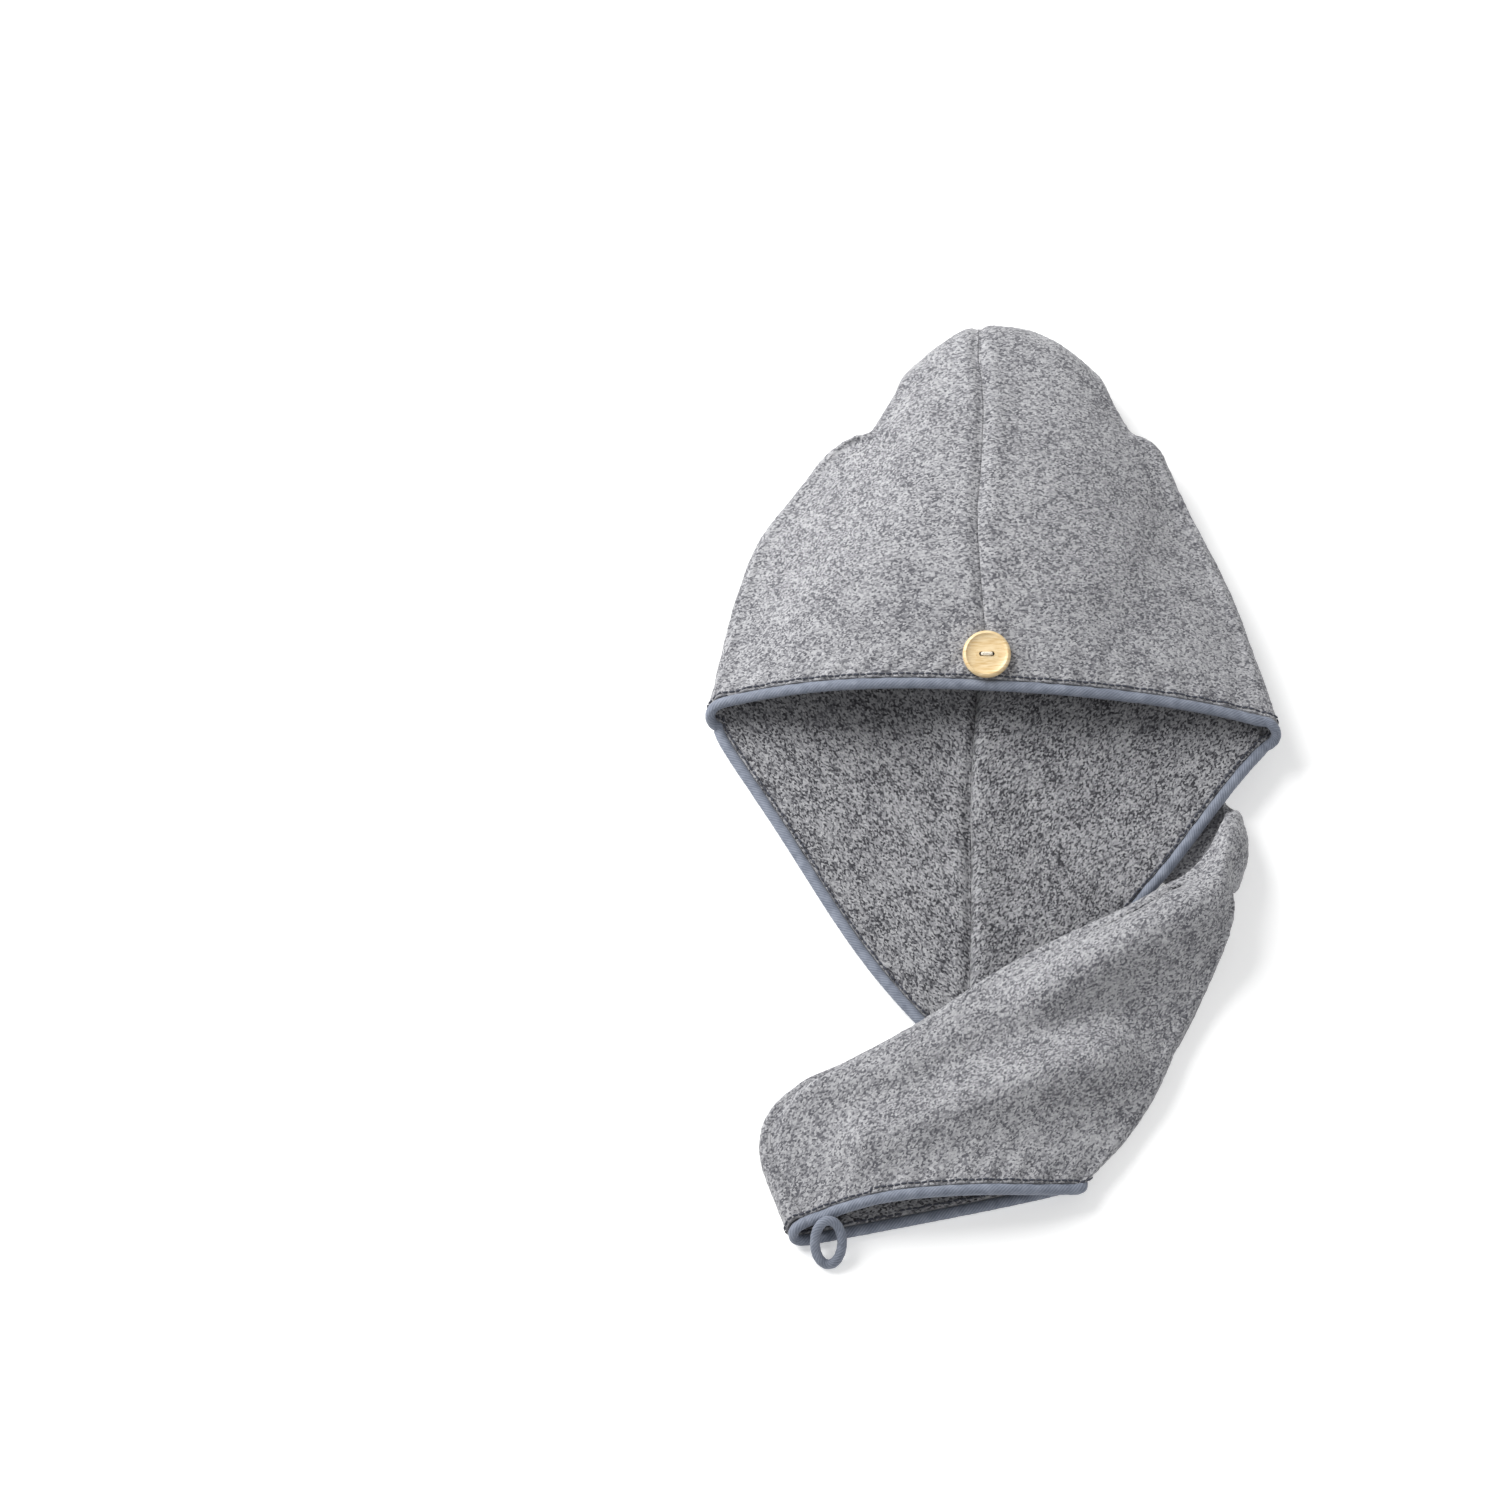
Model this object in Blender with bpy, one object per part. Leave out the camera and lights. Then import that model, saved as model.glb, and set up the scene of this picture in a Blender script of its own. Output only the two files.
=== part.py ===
"""Hair turban towel lying on a flat surface.

A wide fleece hood, folded back at its crown, runs on under itself as a tail. The tail comes out
at the right, folds over and lies across the hood's point. Both open ends are bound in tape. A
wooden button sits on the front edge, and a loop of the same tape ends the tail.

Metres, +Z up. The origin is the middle of the floor area that the towel covers, on the floor.
"""

import math

import bmesh
import bpy
import numpy as np
from mathutils import Vector

# Driving dimensions
HOOD_WIDTH = 0.250
LAID_LENGTH = 0.443
HOOD_RISE = 0.046
WALL = 0.0024
TAIL_AIR = 0.0044
HOOD_SIDE_RADIUS = 0.0065
TAIL_PUFF = 0.009
CROWN_PUFF = 0.006
CROWN_PINCH = 0.003
FOLD_PUFF = 0.005
LAYER_GAP = 0.0017
DRAPE_REACH = 0.030
DRAPE_MARGIN = 0.012
SEAM_GAP = 0.0005
PIECE_GAP = 0.0004
BINDING_GAP = 0.0007
BINDING_DIAMETER = 0.005
LOOP_WIDTH = 0.022
LOOP_LENGTH = 0.024
LOOP_CORD = 0.0044
LOOP_TILT = math.radians(37)
LOOP_RIGHT = 0.0113
LOOP_OUT = 0.0050
LOOP_UP = 0.0027
BUTTON_DIAMETER = 0.021
BUTTON_THICKNESS = 0.0036
BUTTON_RIM = 0.0019
BUTTON_DISH = 0.0006
BUTTON_HOLE = 0.0021
BUTTON_HOLE_SPACING = 0.0046
BUTTON_EDGE = 0.0012
BUTTON_FOOT = 0.0009
BUTTON_SEAT = 0.0005
THREAD_DIAMETER = 0.0013

# Sizes that follow from them
SIDE_RADIUS = WALL + TAIL_AIR / 2
TUBE_HEIGHT = 2 * SIDE_RADIUS
BINDING_RADIUS = BINDING_DIAMETER / 2
EDGE_LIFT = BINDING_RADIUS - WALL / 2
STACK = TUBE_HEIGHT + EDGE_LIFT + LAYER_GAP
FOLD_RADIUS = STACK / 2
CROWN_Y = 0.4620

# Mesh density
COLUMNS = 22
FLAT_SHARE = 0.176
NORMAL_PASSES = 2
BINDING_PASSES = 3
BINDING_STEP = 0.0019
CORNER_ROOM = 0.48
TIGHTEST_TAPE = 0.6
FOLD_STEPS = 6
DRAPE_LINES_PER_ROW = 3
HOOD_RINGS_PER_ROW = 2
TAIL_RINGS_PER_ROW = 1
BINDING_SIDES = 8
ROUND_SIDES = 28
HOLE_SIDES = 12
THREAD_SIDES = 6

# Hood sections, from the mouth to the crown. along is a share of the hood's depth, left and right
# are the outline as shares of HOOD_WIDTH, rise is the front's top as a share of HOOD_RISE, seam is
# how far the front seam has moved round the section, as a share of the whole turn.
HOOD_SECTIONS = [
    dict(along=0.00, left=-0.495, right=0.500, rise=0.85, seam=-0.004),
    dict(along=0.15, left=-0.473, right=0.472, rise=0.95, seam=-0.005),
    dict(along=0.30, left=-0.447, right=0.436, rise=1.00, seam=-0.006),
    dict(along=0.45, left=-0.408, right=0.393, rise=0.97, seam=-0.007),
    dict(along=0.60, left=-0.338, right=0.342, rise=0.90, seam=-0.009),
    dict(along=0.75, left=-0.268, right=0.300, rise=0.80, seam=-0.016),
    dict(along=0.86, left=-0.230, right=0.274, rise=0.71, seam=-0.024),
    dict(along=0.94, left=-0.200, right=0.252, rise=0.64, seam=-0.034),
    dict(along=1.00, left=-0.162, right=0.222, rise=None, seam=-0.044),
]
# The crown's fold bows: its ends lie nearer the mouth than its middle by CROWN_BOW.
CROWN_BOW = 0.018
CROWN_MIDDLE = 0.026
CROWN_HALF = 0.200
BOW_FROM = 0.339
BOW_TO = 0.463
# Corners and point of the mouth, as shares of HOOD_WIDTH and LAID_LENGTH. Its front edge droops to
# the corners and slants on round the sides, also shares of HOOD_WIDTH. Its rear edges bow, as
# shares of HOOD_WIDTH: bow swells the middle, with more at the ends for a low power, and sway
# shifts the swell to one end.
LEFT_CORNER_Y = 0.086
RIGHT_CORNER_Y = 0.068
POINT_X = -0.047
POINT_Y = -0.272
FRONT_ARCH = 0.006
CORNER_DROOP = 0.012
CORNER_SLANT = 0.032
DROOP_POWER = 6
REAR_EDGE_BOWS = [
    dict(side=-1, bow=0.030, sway=-0.008, power=0.5),
    dict(side=1, bow=0.030, sway=0.0, power=2.0),
]
POINT_ROUNDING = 0.12

# Tail sections under the hood, crown first. ax, ay and bx, by are the section's right and left
# ends, as shares of HOOD_WIDTH and LAID_LENGTH.
HIDDEN_SECTIONS = [
    dict(ax=0.222, ay=CROWN_Y, bx=-0.162, by=CROWN_Y, seam=-0.044),
    dict(ax=0.220, ay=0.402, bx=-0.158, by=0.400, seam=-0.03),
    dict(ax=0.244, ay=0.316, bx=-0.116, by=0.289, seam=0.02),
    dict(ax=0.308, ay=0.214, bx=-0.060, by=0.158, seam=0.08),
    dict(ax=0.368, ay=0.117, bx=0.036, by=0.041, seam=0.13),
    dict(ax=0.402, ay=0.050, bx=0.172, by=-0.041, seam=0.18),
    dict(ax=0.412, ay=0.010, bx=0.300, by=-0.098, seam=0.22),
    dict(ax=0.400, ay=-0.016, bx=0.402, by=-0.113, seam=0.25),
]
# Tail sections on top, fold first. ax, ay is the end on the upper left edge and bx, by the end on
# the right outline. az and bz are the underside's height there as shares of STACK, puff the swell
# as a share of TAIL_PUFF and slant how far the top draws back from the underside, per height.
TOP_SECTIONS = [
    dict(ax=0.400, ay=-0.036, bx=0.402, by=-0.118, az=1.0, bz=1.0, puff=0.5, slant=0.0, seam=0.25),
    dict(ax=0.376, ay=-0.069, bx=0.412, by=-0.140, az=1.0, bz=0.99, puff=0.7, slant=0.0, seam=0.25),
    dict(ax=0.338, ay=-0.098, bx=0.406, by=-0.161, az=1.0, bz=0.90, puff=0.9, slant=0.0, seam=0.25),
    dict(ax=0.284, ay=-0.122, bx=0.393, by=-0.181, az=1.02, bz=0.66, puff=1.0, slant=0.0, seam=0.25),
    dict(ax=0.210, ay=-0.145, bx=0.376, by=-0.202, az=1.05, bz=0.36, puff=1.1, slant=0.0, seam=0.25),
    dict(ax=0.126, ay=-0.165, bx=0.354, by=-0.228, az=0.96, bz=0.16, puff=1.1, slant=0.0, seam=0.25),
    dict(ax=0.034, ay=-0.188, bx=0.332, by=-0.253, az=0.80, bz=0.10, puff=1.0, slant=0.0, seam=0.25),
    dict(ax=-0.040, ay=-0.213, bx=0.309, by=-0.277, az=0.74, bz=0.10, puff=0.9, slant=0.0, seam=0.24),
    dict(ax=-0.122, ay=-0.247, bx=0.290, by=-0.298, az=0.72, bz=0.12, puff=0.9, slant=0.0, seam=0.22),
    dict(ax=-0.250, ay=-0.290, bx=0.266, by=-0.324, az=0.62, bz=0.10, puff=0.9, slant=0.08, seam=0.20),
    dict(ax=-0.372, ay=-0.330, bx=0.238, by=-0.349, az=0.30, bz=0.06, puff=0.9, slant=0.22, seam=0.185),
    dict(ax=-0.404, ay=-0.382, bx=0.204, by=-0.375, az=0.13, bz=0.08, puff=0.95, slant=0.40, seam=0.175),
    dict(ax=-0.358, ay=-0.454, bx=0.156, by=-0.404, az=0.11, bz=0.11, puff=1.1, slant=0.60, seam=0.17),
]
# Soft folds on the upper surface: a ridge runs from x0, y0 to x1, y1, shares of HOOD_WIDTH and
# LAID_LENGTH. breadth is a share of HOOD_WIDTH and rise one of HOOD_RISE, less than 0 for a dent.
SOFT_FOLDS = [
    dict(x0=0.08, y0=-0.235, x1=0.31, y1=-0.145, breadth=0.050, rise=0.080),
    dict(x0=-0.10, y0=-0.300, x1=0.24, y1=-0.235, breadth=0.052, rise=-0.070),
    dict(x0=-0.22, y0=-0.375, x1=0.18, y1=-0.290, breadth=0.056, rise=0.085),
    dict(x0=-0.30, y0=-0.320, x1=-0.10, y1=-0.285, breadth=0.044, rise=0.045),
    dict(x0=-0.40, y0=0.175, x1=-0.20, y1=0.310, breadth=0.076, rise=-0.050),
    dict(x0=0.24, y0=0.150, x1=0.34, y1=0.280, breadth=0.068, rise=-0.045),
    dict(x0=-0.16, y0=0.330, x1=-0.02, y1=0.390, breadth=0.060, rise=0.030),
]

# Folds only show where the surface faces up by more than this share
FOLDS_FADE_AT = 0.3
FOLDS_FADE = 0.4
# Shape of a stuffed section, and the swell at the crown's fold
LOFT_SIDES = 2.5
LOFT_TOP = 1.3
CROWN_SWELL = 0.75

COLOURS = {
    "fleece": ((0.36, 0.36, 0.37), 0.95),
    "tape": ((0.20, 0.23, 0.29), 0.8),
    "wood": ((0.80, 0.62, 0.34), 0.5),
    "thread": ((0.80, 0.76, 0.68), 0.8),
}


def material(name):
    found = bpy.data.materials.get(name)
    if found:
        return found
    colour, roughness = COLOURS[name]
    made = bpy.data.materials.new(name)
    made.use_nodes = True
    shader = made.node_tree.nodes["Principled BSDF"]
    shader.inputs["Base Color"].default_value = (*colour, 1)
    shader.inputs["Roughness"].default_value = roughness
    shader.inputs["Metallic"].default_value = 0.0
    return made


def mix(a, b, t):
    return a + (b - a) * t


def smoothstep(t):
    t = min(max(t, 0.0), 1.0)
    return t * t * (3 - 2 * t)


def unit(v):
    return v / np.linalg.norm(v)


def spline(rows, name, t):
    """Smooth value of one column, t counted in rows."""
    last = len(rows) - 1
    i = min(int(t), last - 1)
    f = t - i
    p = [rows[min(max(j, 0), last)][name] for j in (i - 1, i, i + 1, i + 2)]
    rise = (p[2] - p[0]) / 2
    fall = (p[3] - p[1]) / 2
    return (
        p[1] * (2 * f**3 - 3 * f**2 + 1)
        + p[2] * (3 * f**2 - 2 * f**3)
        + rise * (f**3 - 2 * f**2 + f)
        + fall * (f**3 - f**2)
    )


def loft(c):
    """Height of a stuffed section from side, -1, to side, 1."""
    return max(0.0, 1 - abs(c) ** LOFT_SIDES) ** LOFT_TOP


def place(theta):
    """Where a share of the turn lies: on the top or underside, from -1 to 1, or round a side."""
    t = theta % 1.0
    side_share = 0.5 - 2 * FLAT_SHARE
    if t < FLAT_SHARE:
        return "top", t / FLAT_SHARE
    if t < 0.5 - FLAT_SHARE:
        return "side_a", math.pi * (t - FLAT_SHARE) / side_share
    if t < 0.5 + FLAT_SHARE:
        return "under", (0.5 - t) / FLAT_SHARE
    if t < 1 - FLAT_SHARE:
        return "side_b", math.pi * (1 - FLAT_SHARE - t) / side_share
    return "top", (t - 1) / FLAT_SHARE


def plan(x_share, y_share):
    return np.array([x_share * HOOD_WIDTH, y_share * LAID_LENGTH, 0.0])


def hidden_lines():
    """The hidden tail's plan as many lines across it, as an array of pairs of ends."""
    steps = DRAPE_LINES_PER_ROW * (len(HIDDEN_SECTIONS) - 1)
    lines = []
    for i in range(steps + 1):
        t = i / DRAPE_LINES_PER_ROW
        row = {name: spline(HIDDEN_SECTIONS, name, t) for name in ("ax", "ay", "bx", "by")}
        lines.append((plan(row["ax"], row["ay"])[:2], plan(row["bx"], row["by"])[:2]))
    return np.array(lines)


def drape(x, y):
    """Height of the hood's rear wall, which lies on the floor and over the hidden tail."""
    lines = drape.lines
    start, run = lines[:, 0], lines[:, 1] - lines[:, 0]
    to = np.array([x, y]) - start
    share = np.clip(np.sum(to * run, axis=1) / np.sum(run * run, axis=1), 0, 1)
    out = np.linalg.norm(to - run * share[:, None], axis=1).min() - DRAPE_MARGIN
    return mix(EDGE_LIFT, STACK, smoothstep(1 - out / DRAPE_REACH))


drape.lines = hidden_lines()


def rear_edge(c):
    """Plan position of the mouth's rear edge from the left corner, -1, to the right one, 1."""
    side = REAR_EDGE_BOWS[0] if c < 0 else REAR_EDGE_BOWS[1]
    corner_x = HOOD_SECTIONS[0]["left" if c < 0 else "right"] * HOOD_WIDTH
    corner_x -= math.copysign(HOOD_SIDE_RADIUS, corner_x)
    corner_y = (LEFT_CORNER_Y if c < 0 else RIGHT_CORNER_Y) * LAID_LENGTH
    corner_y -= (CORNER_DROOP + CORNER_SLANT) * HOOD_WIDTH
    corner = np.array([corner_x, corner_y, 0.0])
    point = plan(POINT_X, POINT_Y)
    e = POINT_ROUNDING
    near = (math.sqrt(c * c + e * e) - e) / (math.sqrt(1 + e * e) - e)
    q = 1 - near
    run = unit(point - corner)
    outward = np.array([run[1], -run[0], 0.0]) * -side["side"]
    if outward[1] > 0:
        outward = -outward
    swell = max(0.0, math.sin(math.pi * q)) ** side["power"]
    bow = side["bow"] * swell + side["sway"] * math.sin(2 * math.pi * q)
    return mix(corner, point, q) + outward * bow * HOOD_WIDTH


def hood_point(row, theta):
    """Outer surface of the hood. row counts HOOD_SECTIONS from the mouth."""
    s = spline(HOOD_SECTIONS[:-1] + [dict(HOOD_SECTIONS[-1], rise=0)], "along", row)
    r = mix(HOOD_SIDE_RADIUS, SIDE_RADIUS, s)
    crown_rise = (STACK + TUBE_HEIGHT + CROWN_PUFF) / HOOD_RISE
    rows = HOOD_SECTIONS[:-1] + [dict(HOOD_SECTIONS[-1], rise=crown_rise)]
    left = spline(rows, "left", row) * HOOD_WIDTH + r
    right = spline(rows, "right", row) * HOOD_WIDTH - r
    left_y = mix(LEFT_CORNER_Y, CROWN_Y, s) * LAID_LENGTH
    right_y = mix(RIGHT_CORNER_Y, CROWN_Y, s) * LAID_LENGTH
    ends = {-1: (left, left_y), 1: (right, right_y)}
    where, value = place(theta + spline(rows, "seam", row))
    if where in ("side_a", "side_b"):
        sign = 1 if where == "side_a" else -1
        x, y = ends[sign]
        round_side = (1 - math.cos(value)) / 2
        y -= (CORNER_DROOP + CORNER_SLANT * round_side) * HOOD_WIDTH * (1 - s) ** 2
        centre = np.array([x, y, drape(x, y) + r])
        return centre + r * np.array([sign * math.sin(value), 0.0, math.cos(value)])
    c = value
    f = (c + 1) / 2
    x = mix(left, right, f)
    if where == "top":
        y = mix(left_y, right_y, f) + FRONT_ARCH * LAID_LENGTH * (1 - s) * (1 - c * c)
        y -= CORNER_DROOP * HOOD_WIDTH * abs(c) ** DROOP_POWER * (1 - s) ** 2
        base = mix(drape(left, left_y), drape(right, right_y), f) + 2 * r
        rise = spline(rows, "rise", row) * HOOD_RISE
        return np.array([x, y, base + (rise - base) * loft(c)])
    edge = rear_edge(c)
    first_left = HOOD_SECTIONS[0]["left"] * HOOD_WIDTH + HOOD_SIDE_RADIUS
    first_right = HOOD_SECTIONS[0]["right"] * HOOD_WIDTH - HOOD_SIDE_RADIUS
    x += (edge[0] - mix(first_left, first_right, f)) * (1 - s)
    y = mix(edge[1], CROWN_Y * LAID_LENGTH, s)
    return np.array([x, y, drape(x, y)])


def tube_point(section, theta):
    """Outer surface of the tail. section holds its two ends, its normal and its swells."""
    a, b, normal = section["a"], section["b"], section["normal"]
    across = unit(a - b)
    a_in = a - across * SIDE_RADIUS
    b_in = b + across * SIDE_RADIUS
    where, value = place(theta + section["seam"])
    if where == "side_a":
        offset = across * math.sin(value) + normal * math.cos(value)
        point = a_in + offset * SIDE_RADIUS
    elif where == "side_b":
        offset = -across * math.sin(value) + normal * math.cos(value)
        point = b_in + offset * SIDE_RADIUS
    else:
        swell = section["puff"] * loft(value) if where == "top" else 0.0
        height = SIDE_RADIUS + swell
        sign = 1 if where == "top" else -1
        point = mix(b_in, a_in, (value + 1) / 2) + normal * sign * height
    draw = section["slant"] * np.dot(point - (a + b) / 2, normal)
    return point + np.array([0.0, draw, 0.0])


def fold(lower, upper, outward, swells, descend):
    """Sections round a fold. lower and upper are pairs of ends, outward the way it bulges."""
    made = []
    for i in range(1, FOLD_STEPS):
        t = i / FOLD_STEPS
        angle = math.pi * t
        start, end = (upper, lower) if descend else (lower, upper)
        a = mix(start[0], end[0], t)
        b = mix(start[1], end[1], t)
        pinch = unit(a - b) * CROWN_PINCH * math.sin(angle) ** 2 if descend else 0.0
        up = math.cos(angle) if descend else -math.cos(angle)
        middle = (STACK + TUBE_HEIGHT) / 2
        lift = np.array([0.0, 0.0, middle + FOLD_RADIUS * up])
        reach = outward * FOLD_RADIUS * math.sin(angle)
        puff = (
            swells[0] * max(math.cos(angle), 0)
            + swells[1] * math.sin(angle) ** 2
            + swells[2] * max(-math.cos(angle), 0)
        )
        made.append(
            dict(
                a=a - pinch + lift + reach,
                b=b + pinch + lift + reach,
                normal=unit(np.array([0, 0, up]) + outward * math.sin(angle)),
                puff=puff,
                slant=0.0,
            )
        )
    return made


def tail_sections():
    """All sections of the tail, from the crown to its open end."""
    level = np.array([0.0, 0.0, SIDE_RADIUS])
    first, last = HIDDEN_SECTIONS[0], HIDDEN_SECTIONS[-1]
    start = (plan(first["ax"], first["ay"]), plan(first["bx"], first["by"]))
    hidden_end = (plan(last["ax"], last["ay"]), plan(last["bx"], last["by"]))
    top = TOP_SECTIONS[0]
    top_start = (plan(top["ax"], top["ay"]), plan(top["bx"], top["by"]))
    up = np.array([0.0, 0.0, 1.0])
    head = dict(
        a=start[0] + up * (STACK + SIDE_RADIUS),
        b=start[1] + up * (STACK + SIDE_RADIUS),
        normal=up,
        puff=CROWN_PUFF,
        slant=0.0,
        seam=first["seam"],
    )
    sections = [head]
    crown = fold(start, start, np.array([0.0, 1.0, 0.0]), (CROWN_PUFF, CROWN_PUFF * CROWN_SWELL, 0), True)
    sections += [dict(s, seam=first["seam"]) for s in crown]
    steps = TAIL_RINGS_PER_ROW * (len(HIDDEN_SECTIONS) - 1)
    for i in range(steps + 1):
        t = i / TAIL_RINGS_PER_ROW
        ends = [
            plan(spline(HIDDEN_SECTIONS, end + "x", t), spline(HIDDEN_SECTIONS, end + "y", t))
            for end in "ab"
        ]
        seam = spline(HIDDEN_SECTIONS, "seam", t)
        sections.append(
            dict(a=ends[0] + level, b=ends[1] + level, normal=-up, puff=0.0, slant=0.0, seam=seam)
        )
    swells = (0, FOLD_PUFF, top["puff"] * TAIL_PUFF)
    turn = fold(hidden_end, top_start, np.array([1.0, 0.0, 0.0]), swells, False)
    sections += [dict(s, seam=top["seam"]) for s in turn]
    steps = TAIL_RINGS_PER_ROW * (len(TOP_SECTIONS) - 1)
    for i in range(steps + 1):
        t = i / TAIL_RINGS_PER_ROW
        value = {name: spline(TOP_SECTIONS, name, t) for name in top}
        a = plan(value["ax"], value["ay"]) + up * (value["az"] * STACK + SIDE_RADIUS)
        b = plan(value["bx"], value["by"]) + up * (value["bz"] * STACK + SIDE_RADIUS)
        sections.append(
            dict(
                a=a,
                b=b,
                normal=up,
                puff=value["puff"] * TAIL_PUFF,
                slant=value["slant"],
                seam=value["seam"],
            )
        )
    return sections


def soft_fold(point, normal):
    """Rise of the ridges and dents at a point of the upper surface."""
    total = 0.0
    for row in SOFT_FOLDS:
        a, b = plan(row["x0"], row["y0"])[:2], plan(row["x1"], row["y1"])[:2]
        run = b - a
        t = min(max(np.dot(point[:2] - a, run) / np.dot(run, run), 0.0), 1.0)
        away = np.linalg.norm(point[:2] - a - run * t)
        breadth = row["breadth"] * HOOD_WIDTH
        total += row["rise"] * HOOD_RISE * math.exp(-((away / breadth) ** 2))
    return total * smoothstep((normal[2] - FOLDS_FADE_AT) / FOLDS_FADE)


def bowed(rings):
    """The rings with the crown's fold bowed."""
    x, y = rings[..., 0] / HOOD_WIDTH, rings[..., 1] / LAID_LENGTH
    across = np.clip(np.abs(x - CROWN_MIDDLE) / CROWN_HALF, 0, 1)
    share = np.clip((y - BOW_FROM) / (BOW_TO - BOW_FROM), 0, 1)
    made = rings.copy()
    made[..., 1] -= CROWN_BOW * np.sin(across * math.pi / 2) ** 2 * share**2 * (3 - 2 * share)
    return made


def thetas():
    """Shares of the turn of the mesh's columns, right panel first, both seams counted twice."""
    return [j / (2 * COLUMNS) for j in range(2 * COLUMNS + 1)]


def surface_rings():
    """Rings of the outer surface from the mouth to the tail's end, and the crown ring's index."""
    rings = []
    hood_steps = HOOD_RINGS_PER_ROW * (len(HOOD_SECTIONS) - 1)
    for i in range(hood_steps):
        rings.append([hood_point(i / HOOD_RINGS_PER_ROW, t) for t in thetas()])
    crown = len(rings)
    for section in tail_sections():
        rings.append([tube_point(section, t) for t in thetas()])
    return bowed(np.array(rings)), crown


def normals(rings):
    """Outward normals of a grid of rings whose first and last columns meet, evened out a little."""
    around = np.empty_like(rings)
    around[:, 1:-1] = rings[:, 2:] - rings[:, :-2]
    around[:, 0] = rings[:, 1] - rings[:, -2]
    around[:, -1] = around[:, 0]
    cross = np.cross(around, np.gradient(rings, axis=0))
    cross /= np.linalg.norm(cross, axis=2, keepdims=True)
    for _ in range(NORMAL_PASSES):
        even = cross.copy()
        even[1:-1] = (cross[:-2] + 2 * cross[1:-1] + cross[2:]) / 4
        cross = even / np.linalg.norm(even, axis=2, keepdims=True)
    return cross


def new_object(name, mesh, finish):
    thing = bpy.data.objects.new(name, mesh)
    bpy.context.scene.collection.objects.link(thing)
    mesh.materials.append(material(finish))
    mesh.shade_smooth()
    mesh.set_sharp_from_angle(angle=math.radians(50))
    return thing


def mesh_from(name, vertices, faces):
    mesh = bpy.data.meshes.new(name)
    mesh.from_pydata([tuple(v) for v in vertices], [], faces)
    mesh.update()
    shape = bmesh.new()
    shape.from_mesh(mesh)
    bmesh.ops.recalc_face_normals(shape, faces=shape.faces)
    bmesh.ops.triangulate(shape, faces=shape.faces)
    shape.to_mesh(mesh)
    shape.free()
    return mesh


def fleece_panel(name, outer, inner):
    """A closed wall between two grids of the same size."""
    rows, columns = outer.shape[:2]
    vertices = [*outer.reshape(-1, 3), *inner.reshape(-1, 3)]
    half = rows * columns

    def at(side, i, j):
        return side * half + i * columns + j

    faces = []

    def quad(a, b, c, d):
        faces.extend([(a, b, c), (a, c, d)])

    for i in range(rows - 1):
        for j in range(columns - 1):
            for side in (0, 1):
                quad(at(side, i, j), at(side, i, j + 1), at(side, i + 1, j + 1), at(side, i + 1, j))
        for j in (0, columns - 1):
            quad(at(0, i, j), at(0, i + 1, j), at(1, i + 1, j), at(1, i, j))
    for j in range(columns - 1):
        for i in (0, rows - 1):
            quad(at(0, i, j), at(1, i, j), at(1, i, j + 1), at(0, i, j + 1))
    return new_object(name, mesh_from(name, vertices, faces), "fleece")


def pulled_in(grid, amount):
    """The grid with its four borders moved in along the cloth by amount."""
    made = grid.copy()
    for border, beside in (((slice(None), 0), (slice(None), 1)), ((slice(None), -1), (slice(None), -2))):
        step = grid[beside] - grid[border]
        made[border] += step / np.linalg.norm(step, axis=-1, keepdims=True) * amount
    for border, beside in ((0, 1), (-1, -2)):
        step = made[beside] - made[border]
        made[border] += step / np.linalg.norm(step, axis=-1, keepdims=True) * amount
    return made


def tube_round(name, centres, outs, ups, radius, sides, finish):
    """A closed ring of round section. outs and ups span the section at each centre."""
    vertices, faces = [], []
    count = len(centres)
    for centre, out, up, reach in zip(centres, outs, ups, np.broadcast_to(radius, count)):
        for j in range(sides):
            angle = 2 * math.pi * (j + 0.5) / sides
            vertices.append(centre + reach * (out * math.cos(angle) + up * math.sin(angle)))
    for i in range(count):
        k = (i + 1) % count
        for j in range(sides):
            m = (j + 1) % sides
            faces.append((i * sides + j, i * sides + m, k * sides + m, k * sides + j))
    return new_object(name, mesh_from(name, vertices, faces), finish)


def evened(closed_line):
    """Each entry of a closed line evened out with its neighbours."""
    return (np.roll(closed_line, 1, axis=0) + 2 * closed_line + np.roll(closed_line, -1, axis=0)) / 4


def across_line(closed_line, directions):
    """Unit tangents of a closed line, and the directions made square to them."""
    along = np.roll(closed_line, -1, axis=0) - np.roll(closed_line, 1, axis=0)
    along /= np.linalg.norm(along, axis=1, keepdims=True)
    square = directions - along * np.sum(directions * along, axis=1, keepdims=True)
    return along, square / np.linalg.norm(square, axis=1, keepdims=True)


def spaced(centres, outs):
    """The entries of a closed line left when those that lie too near the last one go."""
    kept = [0]
    for i in range(1, len(centres)):
        step = np.linalg.norm(centres[i] - centres[kept[-1]])
        home = np.linalg.norm(centres[i] - centres[0])
        if min(step, home) > BINDING_STEP:
            kept.append(i)
    return centres[kept], outs[kept]


def squeezed(centres):
    """Radius of the tape at each centre, smaller where it turns a tight corner."""
    before = centres - np.roll(centres, 1, axis=0)
    after = np.roll(before, -1, axis=0)
    lengths = [np.linalg.norm(run, axis=1) for run in (before, after)]
    cosine = np.sum(before * after, axis=1) / (lengths[0] * lengths[1])
    half_turn = np.arccos(np.clip(cosine, -1, 1)) / 2
    room = np.minimum(*lengths) * CORNER_ROOM / np.maximum(np.tan(half_turn), 0.01)
    return np.clip(room, BINDING_RADIUS * TIGHTEST_TAPE, BINDING_RADIUS)


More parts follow.
